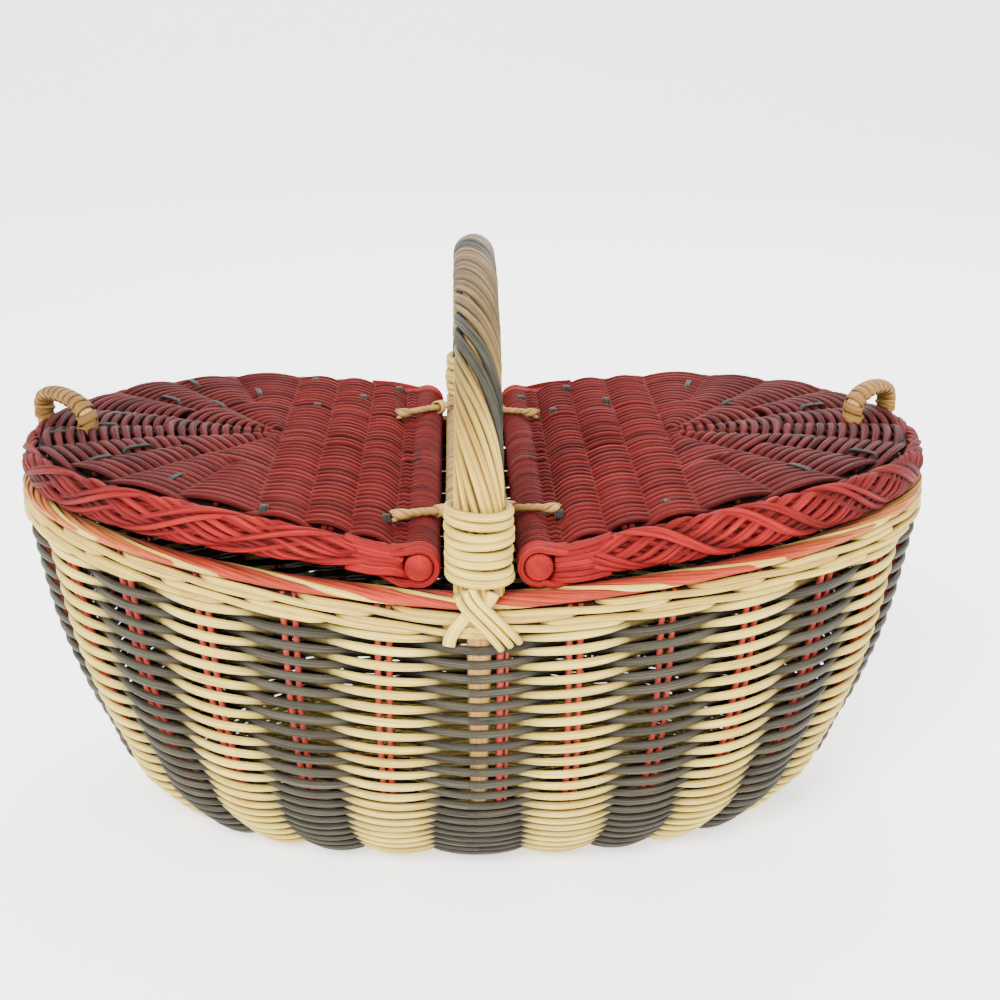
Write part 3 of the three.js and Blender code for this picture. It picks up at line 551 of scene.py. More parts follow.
def buildStakes():
    levels = np.linspace(stakes["bottom"], topLevel, 40)
    pairSpread = stakes["lowHalf"] + (stakes["topHalf"] - stakes["lowHalf"]) * smooth(2.5, topLevel, levels)
    for stake in range(wall["stakes"]):
        bundle = newBundle()
        lanes = [(-1, stakes["radius"]), (1, stakes["radius"])]
        shift, spread = 0, pairSpread
        if stake in (0, wall["stakes"] // 2):  # beside the handle's foot: one reed and a thin one
            lanes = [(0, stakes["radius"] * stakes["thickShare"]), (1, stakes["thinRadius"])]
            shift, spread = stakes["centreShift"], stakes["thinShift"]
        middle, normal, up = wallFrame(np.full(len(levels), float(angleAt(stake))), levels)
        side = np.cross(up, normal)
        facing = np.concatenate([normal, normal[-1:]])
        for lane, radius in lanes:
            line = middle + sideOf(side, shift) + sideOf(side, lane * spread)
            line += sideOf(side, slowOpen(len(levels), stakes["waver"]))
            line = np.concatenate([line, [line[-1] + [0, 0, stakes["headroom"]]]])
            # a little painted shade all along each stake
            addStrand(bundle, line, radius, radius, facing, paintedShade=0.15)
        makeMesh(f"wallStakes{stake + 1:02d}", bundle, stakeRed, "basket",
                 [f"wall_stake_{stake + 1:02d}"])


buildWall()
buildStakes()
print("wall woven")


band = {"foot": 133.3, "height": 12.5, "rounds": 2, "reed": 1.78, "lane": 1.6, "front": 4.0, "back": -3.0,
        "steps": 12, "roundPitch": 6.1, "first": 3.4, "over": 0.667, "under": 0.333,
        "waver": 0.25}


def rimFrame(column):
    angle = angleAt(column)
    plan = rimPlan(angle)
    step = 0.01
    normal = outwards(rimPlan(angle + step) - rimPlan(angle - step))
    return plan, normal, riseAt(plan[:, 0])


def buildBand():
    bundle = newBundle()
    column = columnsBy(band["steps"])
    count = len(column)
    plan, normal, rise = rimFrame(column)
    # a stroke spans three stakes and a little more, so that whole strokes close the round
    stretch = (wall["stakes"] - 1) / wall["stakes"]
    for number in range(band["rounds"]):
        for strand in range(3):
            phase = ((column - strand + 0.5 + number * 1.5) * stretch / 3) % 1
            front = smooth(0, 0.1, phase) * smooth(0.69, 0.6, phase)
            depth = band["back"] + (band["front"] - band["back"]) * front
            lane = np.where(phase < band["over"], -np.tanh((phase - band["under"]) * 9),
                            -np.cos(math.pi * (phase - band["over"]) / band["under"]))
            z = band["foot"] + band["first"] + number * band["roundPitch"] + band["lane"] * lane + rise
            line = onPlan(plan, z) + normal * depth[:, None]
            line[:, 2] += slowNoise(count, band["waver"], 30)
            # painted shade where a stroke passes behind
            addStrand(bundle, line, band["reed"], band["reed"], normal, closed=True,
                      paintedShade=0.6 * (1 - front))
    # a round behind the strokes closes the view between them, painted all in shade
    inner = onPlan(plan, band["foot"] + band["height"] / 2 + rise) + normal * 0.4
    addStrand(bundle, inner, band["height"] / 2 - 0.6, 1.3, normal, closed=True, paintedShade=1.0)
    makeMesh("waleBand", bundle, bandReed, "basket", ["wale_band"])


border = {"strands": 9, "paleEvery": 5, "turns": 9, "foot": 146.1, "height": 7.2, "riseShare": 0.8,
          "halfWidth": 6.5, "reed": 1.5, "steps": 16, "waver": 0.25, "mostSunk": 0.9}


def borderTop(x):
    return border["foot"] + border["height"] + border["riseShare"] * riseAt(x)


def buildBorder():
    bundle, pale = newBundle(), newBundle()
    column = columnsBy(border["steps"])
    count = len(column)
    plan, normal, rise = rimFrame(column)
    half = (borderTop(plan[:, 0]) - border["foot"] - rise) / 2
    thin = np.clip(half / 3.6, 0.45, 1)
    for strand in range(border["strands"]):
        turn = 2 * math.pi * (strand / border["strands"] - border["turns"] * column / wall["stakes"])
        turn = turn + slowNoise(count, border["waver"], 20)
        sunk = np.abs(slowNoise(count, border["mostSunk"], 25))
        out = np.cos(turn) * (border["halfWidth"] - border["reed"] - sunk)
        high = np.sin(turn) * (half - border["reed"] * thin * 0.9)
        z = border["foot"] + rise + half + high
        line = onPlan(plan, z) + normal * out[:, None]
        facing = around(normal, upwards, turn, high=1.2)
        # painted shade where each strand turns round to the inner side
        addStrand(pale if strand % border["paleEvery"] == 0 else bundle, line, border["reed"] * 1.12,
                  border["reed"] * thin, facing, closed=True,
                  paintedShade=0.5 * smooth(0.0, -0.8, np.cos(turn + 0.4)))
    # a filler inside the strands, painted all in shade
    inner = onPlan(plan, border["foot"] + rise + half)
    addStrand(bundle, inner, half - 0.5, border["halfWidth"] - 2.2, normal, closed=True, paintedShade=1.0)
    makeMesh("rimBorder", bundle, borderSalmon, "basket", ["rim_border"])
    makeMesh("rimBorderPale", pale, bandReed, "basket", ["rim_border"])


buildBand()
buildBorder()
print("band and border laid")


handle = {"spring": 165.02, "top": 271.5, "power": 2.25, "footRadius": 11.25, "topRadius": 10.4,
          "foot": 154.02, "strands": 17, "dark": 4, "reed": 1.95, "steps": 150,
          "hoopPoints": 2000, "waver": 0.12, "mostSunk": 0.45,
          # how far round the dark strands have come, in degrees, along the hoop's own length
          "layRun": [0, 40, 60, 82, 125, 215, 300, 397, 432],
          "layTurn": [-164, -104, -62, -8, 128, 425, 650, 880, 930]}


def hoopLine():
    turn = np.linspace(0, math.pi, handle["hoopPoints"])
    y = -wall["rimWidth"] * sgnPow(np.cos(turn), 2 / handle["power"])
    z = handle["spring"] + (handle["top"] - handle["spring"]) * np.abs(np.sin(turn)) ** (2 / handle["power"])
    line = pointsAt(0, y, z)
    foot = [0, -wall["rimWidth"], handle["foot"]]
    line = np.concatenate([[foot], line, [[0, wall["rimWidth"], handle["foot"]]]])
    run = runOf(line)
    even = np.linspace(0, run[-1], handle["steps"])
    return placesOn(line, run, even), even


def buildHandle():
    line, run = hoopLine()
    tangent = unit(np.gradient(line, axis=0))
    side = np.array([1.0, 0, 0])
    out = pointsAt(0, -tangent[:, 2], tangent[:, 1])
    towardsTop = 1 - np.abs(run / run[-1] * 2 - 1)
    radius = handle["footRadius"] + (handle["topRadius"] - handle["footRadius"]) * towardsTop
    knots = np.interp(np.linspace(0, run[-1], 60), handle["layRun"], handle["layTurn"]) / 360
    eased = np.convolve(np.pad(knots, 3, mode="reflect", reflect_type="odd"), np.ones(7) / 7, "valid")
    lay = np.interp(run, np.linspace(0, run[-1], 60), eased)
    light, dark = newBundle(), newBundle()
    for strand in range(handle["strands"]):
        turn = 2 * math.pi * (strand / handle["strands"] + lay)
        turn = turn + slowOpen(len(line), handle["waver"])
        centre = radius - handle["reed"] - np.abs(slowOpen(len(line), handle["mostSunk"]))
        facing = around(side, out, turn)
        path = line + facing * centre[:, None]
        wide = centre * math.pi / handle["strands"]
        # stronger painted shade on each strand's edges
        addStrand(dark if strand < handle["dark"] else light, path, wide, handle["reed"], facing,
                  edge=0.75)
    makeMesh("handleStrandsNatural", light, handleReed, "basket", ["handle_wrap"])
    makeMesh("handleStrandsDark", dark, handleDark, "basket", ["handle_wrap"])


buildHandle()
print("handle wrapped")


# The same pieces on the other side of the basket, half a turn round
def turnedBundle(bundle):
    return {**bundle, "points": [points * [-1, -1, 1] for points in bundle["points"]]}


core = {"radius": 6.2, "tipLevel": 1.4, "tipHalf": 2.0, "tipThin": 1.3, "thin": 2.5, "steps": 40,
        "rodTrim": 3, "neck": 8}


# The rod in the handle, whose two flattened ends run down through the wall
def buildCore():
    bundle = newBundle()
    levels = np.linspace(core["tipLevel"], topLevel, core["steps"])
    middle, normal, _ = wallFrame(np.zeros(len(levels)), levels)
    foot = [[0, -wall["rimWidth"], handle["foot"] + more] for more in (0, core["neck"])]
    line = np.concatenate([middle, foot])
    normal = np.concatenate([normal, normal[-1:], normal[-1:]])
    knots = [core["tipLevel"], *range(2, topLevel + 1)]
    share = np.interp(levels, knots, np.arange(topLevel) / topLevel)
    share = np.concatenate([share, [1, 1]])
    wide = core["tipHalf"] + (core["radius"] - core["tipHalf"]) * share
    thin = core["tipThin"] + (core["thin"] - core["tipThin"]) * share
    for side in (1, -1):
        # a little painted shade all along the flattened ends
        addStrand(bundle, line * [1, side, 1], wide, thin, normal * [1, side, 1], sides=16, tint=0.6,
                  paintedShade=0.15, power=2.6)
    rod, _ = hoopLine()
    rod = rod[core["rodTrim"]:-core["rodTrim"]]
    addStrand(bundle, rod, core["radius"], core["radius"], [1, 0, 0], sides=16, tint=0.5)
    makeMesh("handleCore", bundle, coreWood, "basket", ["handle_core"])


binding = {"turns": 8, "pitch": 4.15, "reed": 2.05, "radius": 13.35, "lift": 6.5, "steps": 30,
           "tuck": 3.2, "waver": 0.35, "tilt": 0.5}


def legPlace(height):
    rise = np.maximum(0, height - handle["spring"]) / (handle["top"] - handle["spring"])
    return -wall["rimWidth"] * (1 - rise ** handle["power"]) ** (1 / handle["power"])


def buildBinding():
    bundle = newBundle()
    count = binding["turns"] * binding["steps"] + 1
    turn = np.linspace(0, binding["turns"] * 2 * math.pi, count)
    height = handle["foot"] + binding["lift"] + turn / (2 * math.pi) * binding["pitch"]
    radius = binding["radius"] + slowOpen(count, binding["waver"]) + 0.25 * np.sin(turn * 0.77)
    line = pointsAt(radius * np.sin(turn), legPlace(height) + radius * np.cos(turn),
                    height + 0.3 * np.sin(turn * 0.5 + 1))
    # the upper end is tucked under the last turn
    tuck = smooth(count - 1 - binding["steps"] * 0.45, count - 1, np.arange(count))
    line[:, 2] -= binding["tuck"] * tuck
    tilt = binding["tilt"] + slowOpen(count, binding["tilt"])
    line[:, 2] += tilt * np.cos(turn + slowOpen(count, 1.5)) * (1 - tuck)
    facing = pointsAt(np.sin(turn), np.cos(turn), 0)
    # stronger painted shade on the binding's edges
    addStrand(bundle, line, binding["reed"], binding["reed"] * 0.92, facing, sides=10, tint=0.7, power=2.3,
              edge=0.7)
    return bundle


lashing = {"reed": 1.8, "lanes": (-3.1, 0, 3.1), "flatHalf": 2.9, "flatThin": 0.75,
           "round": [(-6.5, 12.4, 159), (-4.6, 10.6, 154), (-1.2, 9.0, 149), (4.2, 8.6, 143),
                     (9.2, 8.4, 137.5), (11.8, 7.4, 134), (13.4, 4.4, 131)],
           "flat": [(6.0, 12.0, 158), (3.2, 9.2, 152.5), (-3.5, 7.6, 147.5), (-9.0, 7.2, 141.5),
                    (-12.4, 6.2, 135.5), (-13.2, 4.6, 131)]}


# Three reeds that run down to the right over the rim, and a flat one to the left under them
def buildLashing():
    bundle = newBundle()
    for number, lane in enumerate(lashing["lanes"]):
        path = smoothPath([(x + lane * (1 + 0.05 * i), -wall["rimWidth"] - depth, z + 0.55 * lane)
                           for i, (x, depth, z) in enumerate(lashing["round"])])
        addStrand(bundle, path, lashing["reed"], lashing["reed"] * 0.95, [0, -1, 0], tint=0.5 + 0.2 * number)
    path = smoothPath([(x, -wall["rimWidth"] - depth, z) for x, depth, z in lashing["flat"]])
    addStrand(bundle, path, lashing["flatHalf"], lashing["flatThin"], [0, -1, 0], tint=0.9, power=3)
    return bundle


for side, turned in (("front", dict), ("back", turnedBundle)):
    makeMesh(f"{side}HandleBinding", turned(buildBinding()), bindingReed, "basket",
             [f"{side}_handle_binding"])
    makeMesh(f"{side}FootLashing", turned(buildLashing()), bindingReed, "basket",
             [f"{side}_foot_lashing"])
buildCore()
print("handle bound")


bar = {"halfWidth": 15, "halfHeight": 5.0, "top": 172, "height": 11, "halfLength": 131, "pitch": 2.7,
       "vee": 10, "setBack": 1.5, "lift": 0.55, "reed": 1.25, "thin": 0.8, "steps": 36, "waver": 0.5,
       "slatHalf": 9, "slatThin": 2.25}


# Fine strands wound round a flat slat, each bent to a V that points to the front
def buildBar():
    slat, wrap = newBundle(), newBundle()
    middle = bar["top"] - bar["height"] / 2
    ends = [[0, -bar["halfLength"], middle], [0, bar["halfLength"], middle]]
    addStrand(slat, ends, bar["slatHalf"], bar["slatThin"], [0, 0, 1], power=8, turn=math.pi / 8)
    makeMesh("centreBarSlat", slat, coreWood, "basket", ["centre_bar_slat"])
    turn = np.linspace(0, 2 * math.pi, bar["steps"], endpoint=False)
    reach = bar["halfLength"] - bar["vee"] - bar["reed"]
    x = bar["halfWidth"] * sgnPow(np.cos(turn), 0.7)
    z = bar["halfHeight"] * sgnPow(np.sin(turn), 0.8)
    lean = np.abs(x) / bar["halfWidth"]
    lift = bar["lift"] * np.where(x < 0, 1, -1) * (1 - lean) * (np.sin(turn) < 0)
    facing = pointsAt(x / 3, 0, z)
    narrowed = 1 - (bar["reed"] - 0.2) / bar["halfWidth"]
    for place in np.arange(-reach, reach + bar["vee"], bar["pitch"]):
        y = np.clip(place + bar["vee"] * lean - bar["setBack"], 1 - bar["halfLength"], bar["halfLength"] - 1)
        line = pointsAt(x * narrowed, y + slowNoise(len(turn), bar["waver"], 3), middle + z + lift)
        # painted shade over the middle of each turn
        addStrand(wrap, line, bar["reed"], bar["thin"], facing, closed=True, sides=6,
                  paintedShade=0.5 * smooth(0.35, 0, lean))
    makeMesh("centreBarWrap", wrap, barFibre, "basket", ["centre_bar_wrap"])


buildBar()
print("centre bar wound")


lid = {"length": 226, "width": 147, "dowelOffset": 26, "dowelHeight": 164.5, "dowelRadius": 6.25,
       "dowelHalf": 146, "sleeve": 9.7, "tipRise": 17, "crown": 7, "plaitHalf": 5.5,
       "focus": 98, "rows": 41, "innerRadius": 9, "reed": 1.42, "swing": 2.65, "depth": 4.6,
       "rollRadius": 7.9, "split": 58, "stakes": (47, 66, 86), "returnTo": 56, "centrePitch": 2.95,
       "centreStrands": 5, "valley": 37.5, "valleyDepth": 1.6, "valleyWidth": 4,
       "overFrom": 29, "overTo": 36, "overReach": 6.5, "rollHalf": 1.6, "waver": 0.3, "thick": 9,
       "wedge": 34, "returnLift": 1.6,
       "phaseAt": [26, 37, 47, 56, 66, 76, 86, 97], "phase": [-1.2, -0.5, 0, 0.5, 1, 1.5, 2, 2.5]}
panelLength = lid["length"] - 2 * lid["plaitHalf"] - 0.5
panelWidth = lid["width"] - 2 * lid["plaitHalf"] - 0.5


def lidTop(u):
    share = (np.asarray(u, float) - lid["dowelOffset"]) / (lid["length"] - lid["dowelOffset"])
    return (lid["dowelHeight"] + lid["sleeve"] + lid["tipRise"] * share
            + 4 * lid["crown"] * share * (1 - share))


def panelReach(u):
    power = wall["planPower"]
    return panelWidth * (1 - np.clip(np.asarray(u) / panelLength, 0, 1) ** power) ** (1 / power)


def fanReach(angle):  # from the focus to the panel's edge
    low, high = np.zeros(len(angle)), np.full(len(angle), 200.0)
    power = wall["planPower"]
    for _ in range(40):
        middle = (low + high) / 2
        u = lid["focus"] + middle * np.cos(angle)
        y = middle * np.abs(np.sin(angle))
        inside = (np.abs(u) / panelLength) ** power + (y / panelWidth) ** power < 1
        low, high = np.where(inside, middle, low), np.where(inside, high, middle)
    return low


def lidHalfRow(t):  # from under the dowel over it and along one side to the fan
    lower = np.linspace(lid["returnTo"], lid["dowelOffset"], 9)[:-1]
    wedge = np.clip(1 - (lower - lid["dowelOffset"]) / lid["wedge"], 0, 1)
    lowerZ = lidTop(lower) - lid["thick"] - wedge * (2 * lid["sleeve"] - lid["thick"]) + lid["returnLift"]
    turn = np.linspace(-math.pi / 2, -3 * math.pi / 2, 13)
    rollU = lid["dowelOffset"] + lid["rollRadius"] * np.cos(turn)
    rollZ = lid["dowelHeight"] + lid["rollRadius"] * np.sin(turn)
    upper = np.linspace(lid["dowelOffset"], lid["focus"], 36)[1:]
    phase = np.interp(upper, lid["phaseAt"], lid["phase"])
    u = np.concatenate([lower, rollU, upper])
    y = t * panelReach(np.maximum(u, lid["dowelOffset"]))
    return u, y, np.concatenate([lowerZ, rollZ, np.full(len(upper), np.nan)]), np.concatenate(
        [np.full(len(lower) + len(rollU), np.nan), phase])


# Where z isn't given, the strand is woven. Gives its heights, upper side, swing and where it is woven.
def weaveOver(u, z, phase, row):
    swing = weaveShape(np.nan_to_num(phase), row)
    woven = lidTop(np.maximum(u, lid["dowelOffset"])) - lid["depth"] + lid["swing"] * swing
    woven = woven - lid["valleyDepth"] * np.exp(-((u - lid["valley"]) / lid["valleyWidth"]) ** 2)
    near = smooth(lid["overTo"], lid["overFrom"], u)
    overRoll = lid["dowelHeight"] + np.sqrt(np.clip(
        lid["rollRadius"] ** 2 - np.clip(u - lid["dowelOffset"], 0, lid["overReach"]) ** 2, 0, None))
    woven = woven * (1 - near) + overRoll * near
    isWoven = np.isnan(z)
    z = np.where(isWoven, woven, z)
    up = np.tile([0.0, 0, 1], (len(u), 1))
    rolled = ~isWoven
    up[rolled] = pointsAt(u[rolled] - lid["dowelOffset"], 0, z[rolled] - lid["dowelHeight"])
    up[(u > lid["dowelOffset"] + 0.01) & rolled] = [0, 0, -1]
    return z, up, swing, isWoven


def buildLidWeave():
    bundle = newBundle()
    reach = float(panelReach(lid["focus"]))
    for row in range(lid["rows"]):
        t = (lid["innerRadius"] + (reach + 0.9 - lid["innerRadius"]) * row / (lid["rows"] - 1)) / reach
        fans = 10 if t * reach > lid["split"] else 5
        u, y, z, phase = lidHalfRow(t)
        angle = np.linspace(-math.pi / 2, math.pi / 2, fans * 9 + 1)[1:-1]
        fanR = t * fanReach(angle)
        fanPhase = 2.5 + (angle + math.pi / 2) / math.pi * fans
        wholeU = np.concatenate([u, lid["focus"] + fanR * np.cos(angle), u[::-1]])
        wholeY = np.concatenate([-y, fanR * np.sin(angle), y[::-1]])
        wholePhase = np.concatenate([phase, fanPhase, 5 + fans - phase[::-1]])
        wholeZ = np.concatenate([z, np.full(len(angle), np.nan), z[::-1]])
        wholeZ, up, swing, isWoven = weaveOver(wholeU, wholeZ, wholePhase, row)
        line = pointsAt(wholeU, wholeY, wholeZ)
        line[:, 1] += slowNoise(len(line), lid["waver"], 20) * isWoven
        # painted shade where a row passes under, and a little near the dowel
        paintedShade = np.where(isWoven, 0.8 * smooth(0.1, -0.7, swing), 0.0)
        paintedShade = np.where(wholeU < 40, 0.1, paintedShade)
        wide = np.where(isWoven, lid["reed"] * (1.12 + 0.38 * np.abs(swing)), lid["rollHalf"])
        wide = np.where(wholeU < lid["overTo"], lid["rollHalf"], wide)
        addStrand(bundle, line, wide, lid["reed"], up, paintedShade=paintedShade)
    # the middle strands run straight from the dowel and end at the fan's focus
    half = lid["centreStrands"] // 2
    for number in range(-half, half + 1):
        u, _, z, phase = lidHalfRow(0)
        u = np.concatenate([u, np.linspace(lid["focus"], lid["focus"] + 6, 4)[1:]])
        z = np.concatenate([z, np.full(3, np.nan)])
        phase = np.concatenate([phase, np.full(3, 2.7)])
        z, up, swing, isWoven = weaveOver(u, z, phase, number)
        line = pointsAt(u, number * lid["centrePitch"], z)
        # painted shade where a centre strand passes under
        addStrand(bundle, line, lid["reed"] * 1.06, lid["reed"], up, sides=7,
                  paintedShade=np.where(isWoven, 0.8 * smooth(0.1, -0.7, swing), 0.0))
    return bundle


crossStake = {"lane": 1.6, "radius": 1.5, "drop": 5.2, "steps": 40, "waver": 0.3}


def buildLidStakes(number):
    bundle = newBundle()
    count = crossStake["steps"]
    offset = lid["stakes"][number]
    reach = float(panelReach(offset)) - 1
    y = np.linspace(-reach, reach, count)
    for lane in (-crossStake["lane"], crossStake["lane"]):
        line = pointsAt(offset + lane + slowOpen(count, crossStake["waver"]), y,
                        lidTop(offset) - crossStake["drop"])
        # a little painted shade all along each stake
        addStrand(bundle, line, crossStake["radius"], crossStake["radius"], [0, 0, 1], sides=7, paintedShade=0.2)
    return bundle


fan = {"spokes": (-72, -36, 0, 36, 72), "spread": 9, "pairHalf": 1.45, "start": 7, "radius": 1.3,
       "drop": 4.7, "steps": 34}


# Pairs of spokes round the fan's focus, which part beyond the split
def buildFanStakes():
    bundle = newBundle()
    for centre in fan["spokes"]:
        for lane in (-1, 1):
            edge = fanReach(np.radians([centre + fan["spread"] * lane]))[0]
            r = np.linspace(fan["start"], edge - 1, fan["steps"])
            opened = smooth(lid["split"] - 7, lid["split"] + 9, r)
            near = np.degrees(fan["pairHalf"] / r)
            angle = np.radians(centre + lane * (near * (1 - opened) + fan["spread"] * opened))
            u = lid["focus"] + r * np.cos(angle)
            line = pointsAt(u, r * np.sin(angle), lidTop(u) - fan["drop"])
            # a little painted shade all along each spoke
            addStrand(bundle, line, fan["radius"], fan["radius"], [0, 0, 1], sides=7, paintedShade=0.2)
    return bundle


plait = {"strands": 24, "crossings": 2, "pitch": 46, "dive": 1.05, "fullness": 0.72, "start": 36.2,
         "belowTop": 1.2, "edgeDrop": 2, "dropAtDowel": 3, "reed": 1.45, "steps": 260, "waver": 0.3,
         "gathered": 7, "gatherRadius": 7.6, "gatherAt": 138.5, "gatherStep": 1.1,
         "lead": {"left": 150, "right": 96}, "sag": {"left": 0, "right": 4}, "hand": {"left": -1, "right": 1}}
plaitLength = lid["length"] - lid["plaitHalf"]
plaitWidth = lid["width"] - lid["plaitHalf"]


def plaitFrame(sag):
    first = math.asin((plait["start"] / plaitLength) ** (wall["planPower"] / 2))
    fine = np.linspace(first, math.pi - first, 3000)
    plan = oval(plaitLength, plaitWidth, fine)
    run = runOf(plan)
    even = np.linspace(0, run[-1], plait["steps"])
    angle = np.interp(even, run, fine)
    plan = oval(plaitLength, plaitWidth, angle)
    normal = outwards(np.gradient(plan, axis=0))
    share = (plan[:, 0] - plait["start"]) / (lid["length"] - plait["start"])
    atDowel = lid["dowelHeight"] - plait["dropAtDowel"] - sag
    foot = atDowel + (borderTop(lid["length"]) + 0.5 - atDowel) * share
    top = lidTop(plan[:, 0]) - plait["edgeDrop"] - plait["belowTop"]
    return plan, normal, foot, top, even


def buildPlait(side):
    bundle = newBundle()
    plan, normal, foot, top, run = plaitFrame(plait["sag"][side])
    half = (top - foot) / 2
    girth = math.pi * (3 * (lid["plaitHalf"] + half)
                       - np.sqrt((3 * lid["plaitHalf"] + half) * (lid["plaitHalf"] + 3 * half)))
    wide = girth / plait["strands"] * plait["fullness"]
    for strand in range(plait["strands"]):
        hand = plait["hand"][side] * (1 if strand % 2 else -1)
        turn = 2 * math.pi * (strand / plait["strands"] - hand * run / plait["lead"][side])
        turn = turn + slowOpen(len(run), plait["waver"])
        # strands of one hand dive where those of the other rise, so each crossing has an upper one
        field = np.sin(plait["crossings"] * turn + 2 * math.pi * run / plait["pitch"])
        sunk = plait["dive"] * (1 - hand * field)
        out = np.cos(turn) * (lid["plaitHalf"] - plait["reed"] - sunk)
        high = np.sin(turn) * (half - plait["reed"] - sunk)
        line = onPlan(plan, foot + half + high) + normal * out[:, None]
        # painted shade on strands where they sink
        addStrand(bundle, line, wide, plait["reed"] * 0.92, around(normal, upwards, turn),
                  paintedShade=0.25 * sunk)
    # a filler inside the plait, painted mostly in shade
    inner = onPlan(plan, foot + half)
    addStrand(bundle, inner, half - 3, lid["plaitHalf"] - 3, normal, paintedShade=0.7)
    # strands come out of the roll round the dowel and gather into the plait
    for number, share in enumerate(np.linspace(0.04, 0.96, plait["gathered"])):
        angle = math.radians(-75 + 150 * share)
        startAt = [lid["dowelOffset"] + plait["gatherRadius"] * math.cos(angle),
                   plait["gatherAt"] + plait["gatherStep"] * (number % 5),
                   lid["dowelHeight"] + plait["gatherRadius"] * math.sin(angle)]
        spots = [startAt] + [[plan[i][0], plan[i][1] + normal[i][1] * reach, foot[i] + 2 * half[i] * share]
                             for i, reach in ((-1, 3.4), (-6, 4.2), (-12, 1.0))]
        for end in (1, -1):
            path = smoothPath([[x, abs(y) * end, z] for x, y, z in spots], 6)
            # a little painted shade on the gathered strands
            addStrand(bundle, path, 1.7, 1.5, [0.3, end, 0.4], paintedShade=0.1)
    return bundle


def buildDowel():
    bundle = newBundle()
    # how far in from the dowel's end, and how far off its radius
    bevels = [(0, 0.95), (0.3, 0.35), (1, 0), (26, 0), (lid["dowelHalf"], 0)]
    half = [(lid["dowelHalf"] - inward, lid["dowelRadius"] - off) for inward, off in bevels]
    y, radius = np.array([(-y, r) for y, r in half] + half[-2::-1]).T
    line = pointsAt(lid["dowelOffset"], y, lid["dowelHeight"])
    addStrand(bundle, line, radius, radius, [0, 0, 1], sides=40)
    return bundle


roll = {"places": (136.2, 139.4, 142.6, 144.6), "reed": 1.7, "thin": 1.45, "radius": 8.0}


# Strands that loop round the dowel beside its faces and run into the plait
def buildRolls(side):
    bundle = newBundle()
    sag = plait["sag"][side]
    for number, place in enumerate(roll["places"]):
        for end in (-1, 1):
            turn = np.linspace(math.radians(292), math.radians(68), 22)
            arc = [(lid["dowelOffset"] + roll["radius"] * math.cos(a), place,
                    lid["dowelHeight"] + roll["radius"] * math.sin(a)) for a in turn]
            inward = place - 2.2 - 0.9 * number
            lower = [(54, inward - 2, 164.5 - sag), (43, inward, 160.2 - sag * 0.8),
                     (34, place, 157.2 - sag * 0.3)]
            upper = [(36, place, 171.2), (45, inward, 171.6), (58, inward - 2.6, 172.4)]
            path = smoothPath([(x, end * y, z) for x, y, z in lower + arc + upper], 3)
            facing = path - [lid["dowelOffset"], 0, lid["dowelHeight"]]
            facing[:, 1] = 0
            # a little painted shade all along each roll strand
            addStrand(bundle, path, roll["reed"], roll["thin"], facing, paintedShade=0.05)
    return bundle


stitch = {"lift": 0.1, "knotHalf": 0.9, "knotThin": 0.75, "barHalf": 0.8, "barThin": 0.65,
          "knotLong": 2.7, "knotMore": 0.9, "barLong": 6.5, "barMore": 2,
          "left": [(154, 87), (117, 76), (135, 44), (161, 50), (195, 62), (180, 16), (186, -4), (205, -17),
                   (176, -63), (162, -43), (137, -88), (125, -124), (94, -122), (101, -157), (68, -135),
                   (41, -109), (42, 126), (41, 77), (61, 93), (84, 61), (89, 115)],
          "right": [(54, 118), (28, 116), (44, 75), (73, 77), (37, -101), (66, -132), (84, -113), (119, -116),
                    (135, 44), (161, -30), (178, 30), (120, 90), (150, -80), (184, -58)]}


# Dark thread that pins the rows: short knots on the straight part, bars along the fan's spokes
def buildStitches(side):
    bundle = newBundle()
    for u, y in stitch[side]:
        if abs(y) > float(panelReach(u)) - 1:
            continue
        if u < lid["focus"] + 4:
            for lane in (-1.1, 0, 1.1):
                long = stitch["knotLong"] + chance.random() * stitch["knotMore"]
                at = np.array([u + lane, y, float(lidTop(u)) + stitch["lift"] - 0.9])
                path = smoothPath([at + [0.4 * lane, -long, -2.6], at + [0, -long * 0.55, -0.2],
                                   at + [0, long * 0.55, -0.2], at + [-0.4 * lane, long, -2.6]], 5)
                addStrand(bundle, path, stitch["knotHalf"], stitch["knotThin"], [0, 0, 1], sides=6)
        else:
            away = unit(np.array([u - lid["focus"], y, 0.0]))
            across = np.array([-away[1], away[0], 0])
            half = stitch["barLong"] + chance.random() * stitch["barMore"]
            for lane in (-0.65, 0.65):
                centre = np.array([u, y, 0.0]) + across * lane
                places = [centre + away * half * share for share in (-1, -0.75, 0, 0.75, 1)]
                path = [[p[0], p[1], float(lidTop(min(p[0], panelLength))) + drop]
                        for p, drop in zip(places, (-3.8, -1.5, -1.1, -1.5, -3.8))]
                addStrand(bundle, smoothPath(path, 5), stitch["barHalf"], stitch["barThin"], [0, 0, 1],
                          sides=6)
    return bundle


pull = {"rise": 11, "flat": 0.62, "halfWidth": 4.1, "halfThin": 2.2, "legDepth": 7,
        "turns": {"left": 13, "right": 12},
        "feet": {"left": ((192, -11), (222, 26)), "right": ((193, 5), (217, 33))},
        # each cane's hand, half width and lift
        "canes": ((1, 2.35, 0.75), (-1, 0.85, 1.5)), "caneThin": 0.55, "steps": 26, "ends": 0.5}


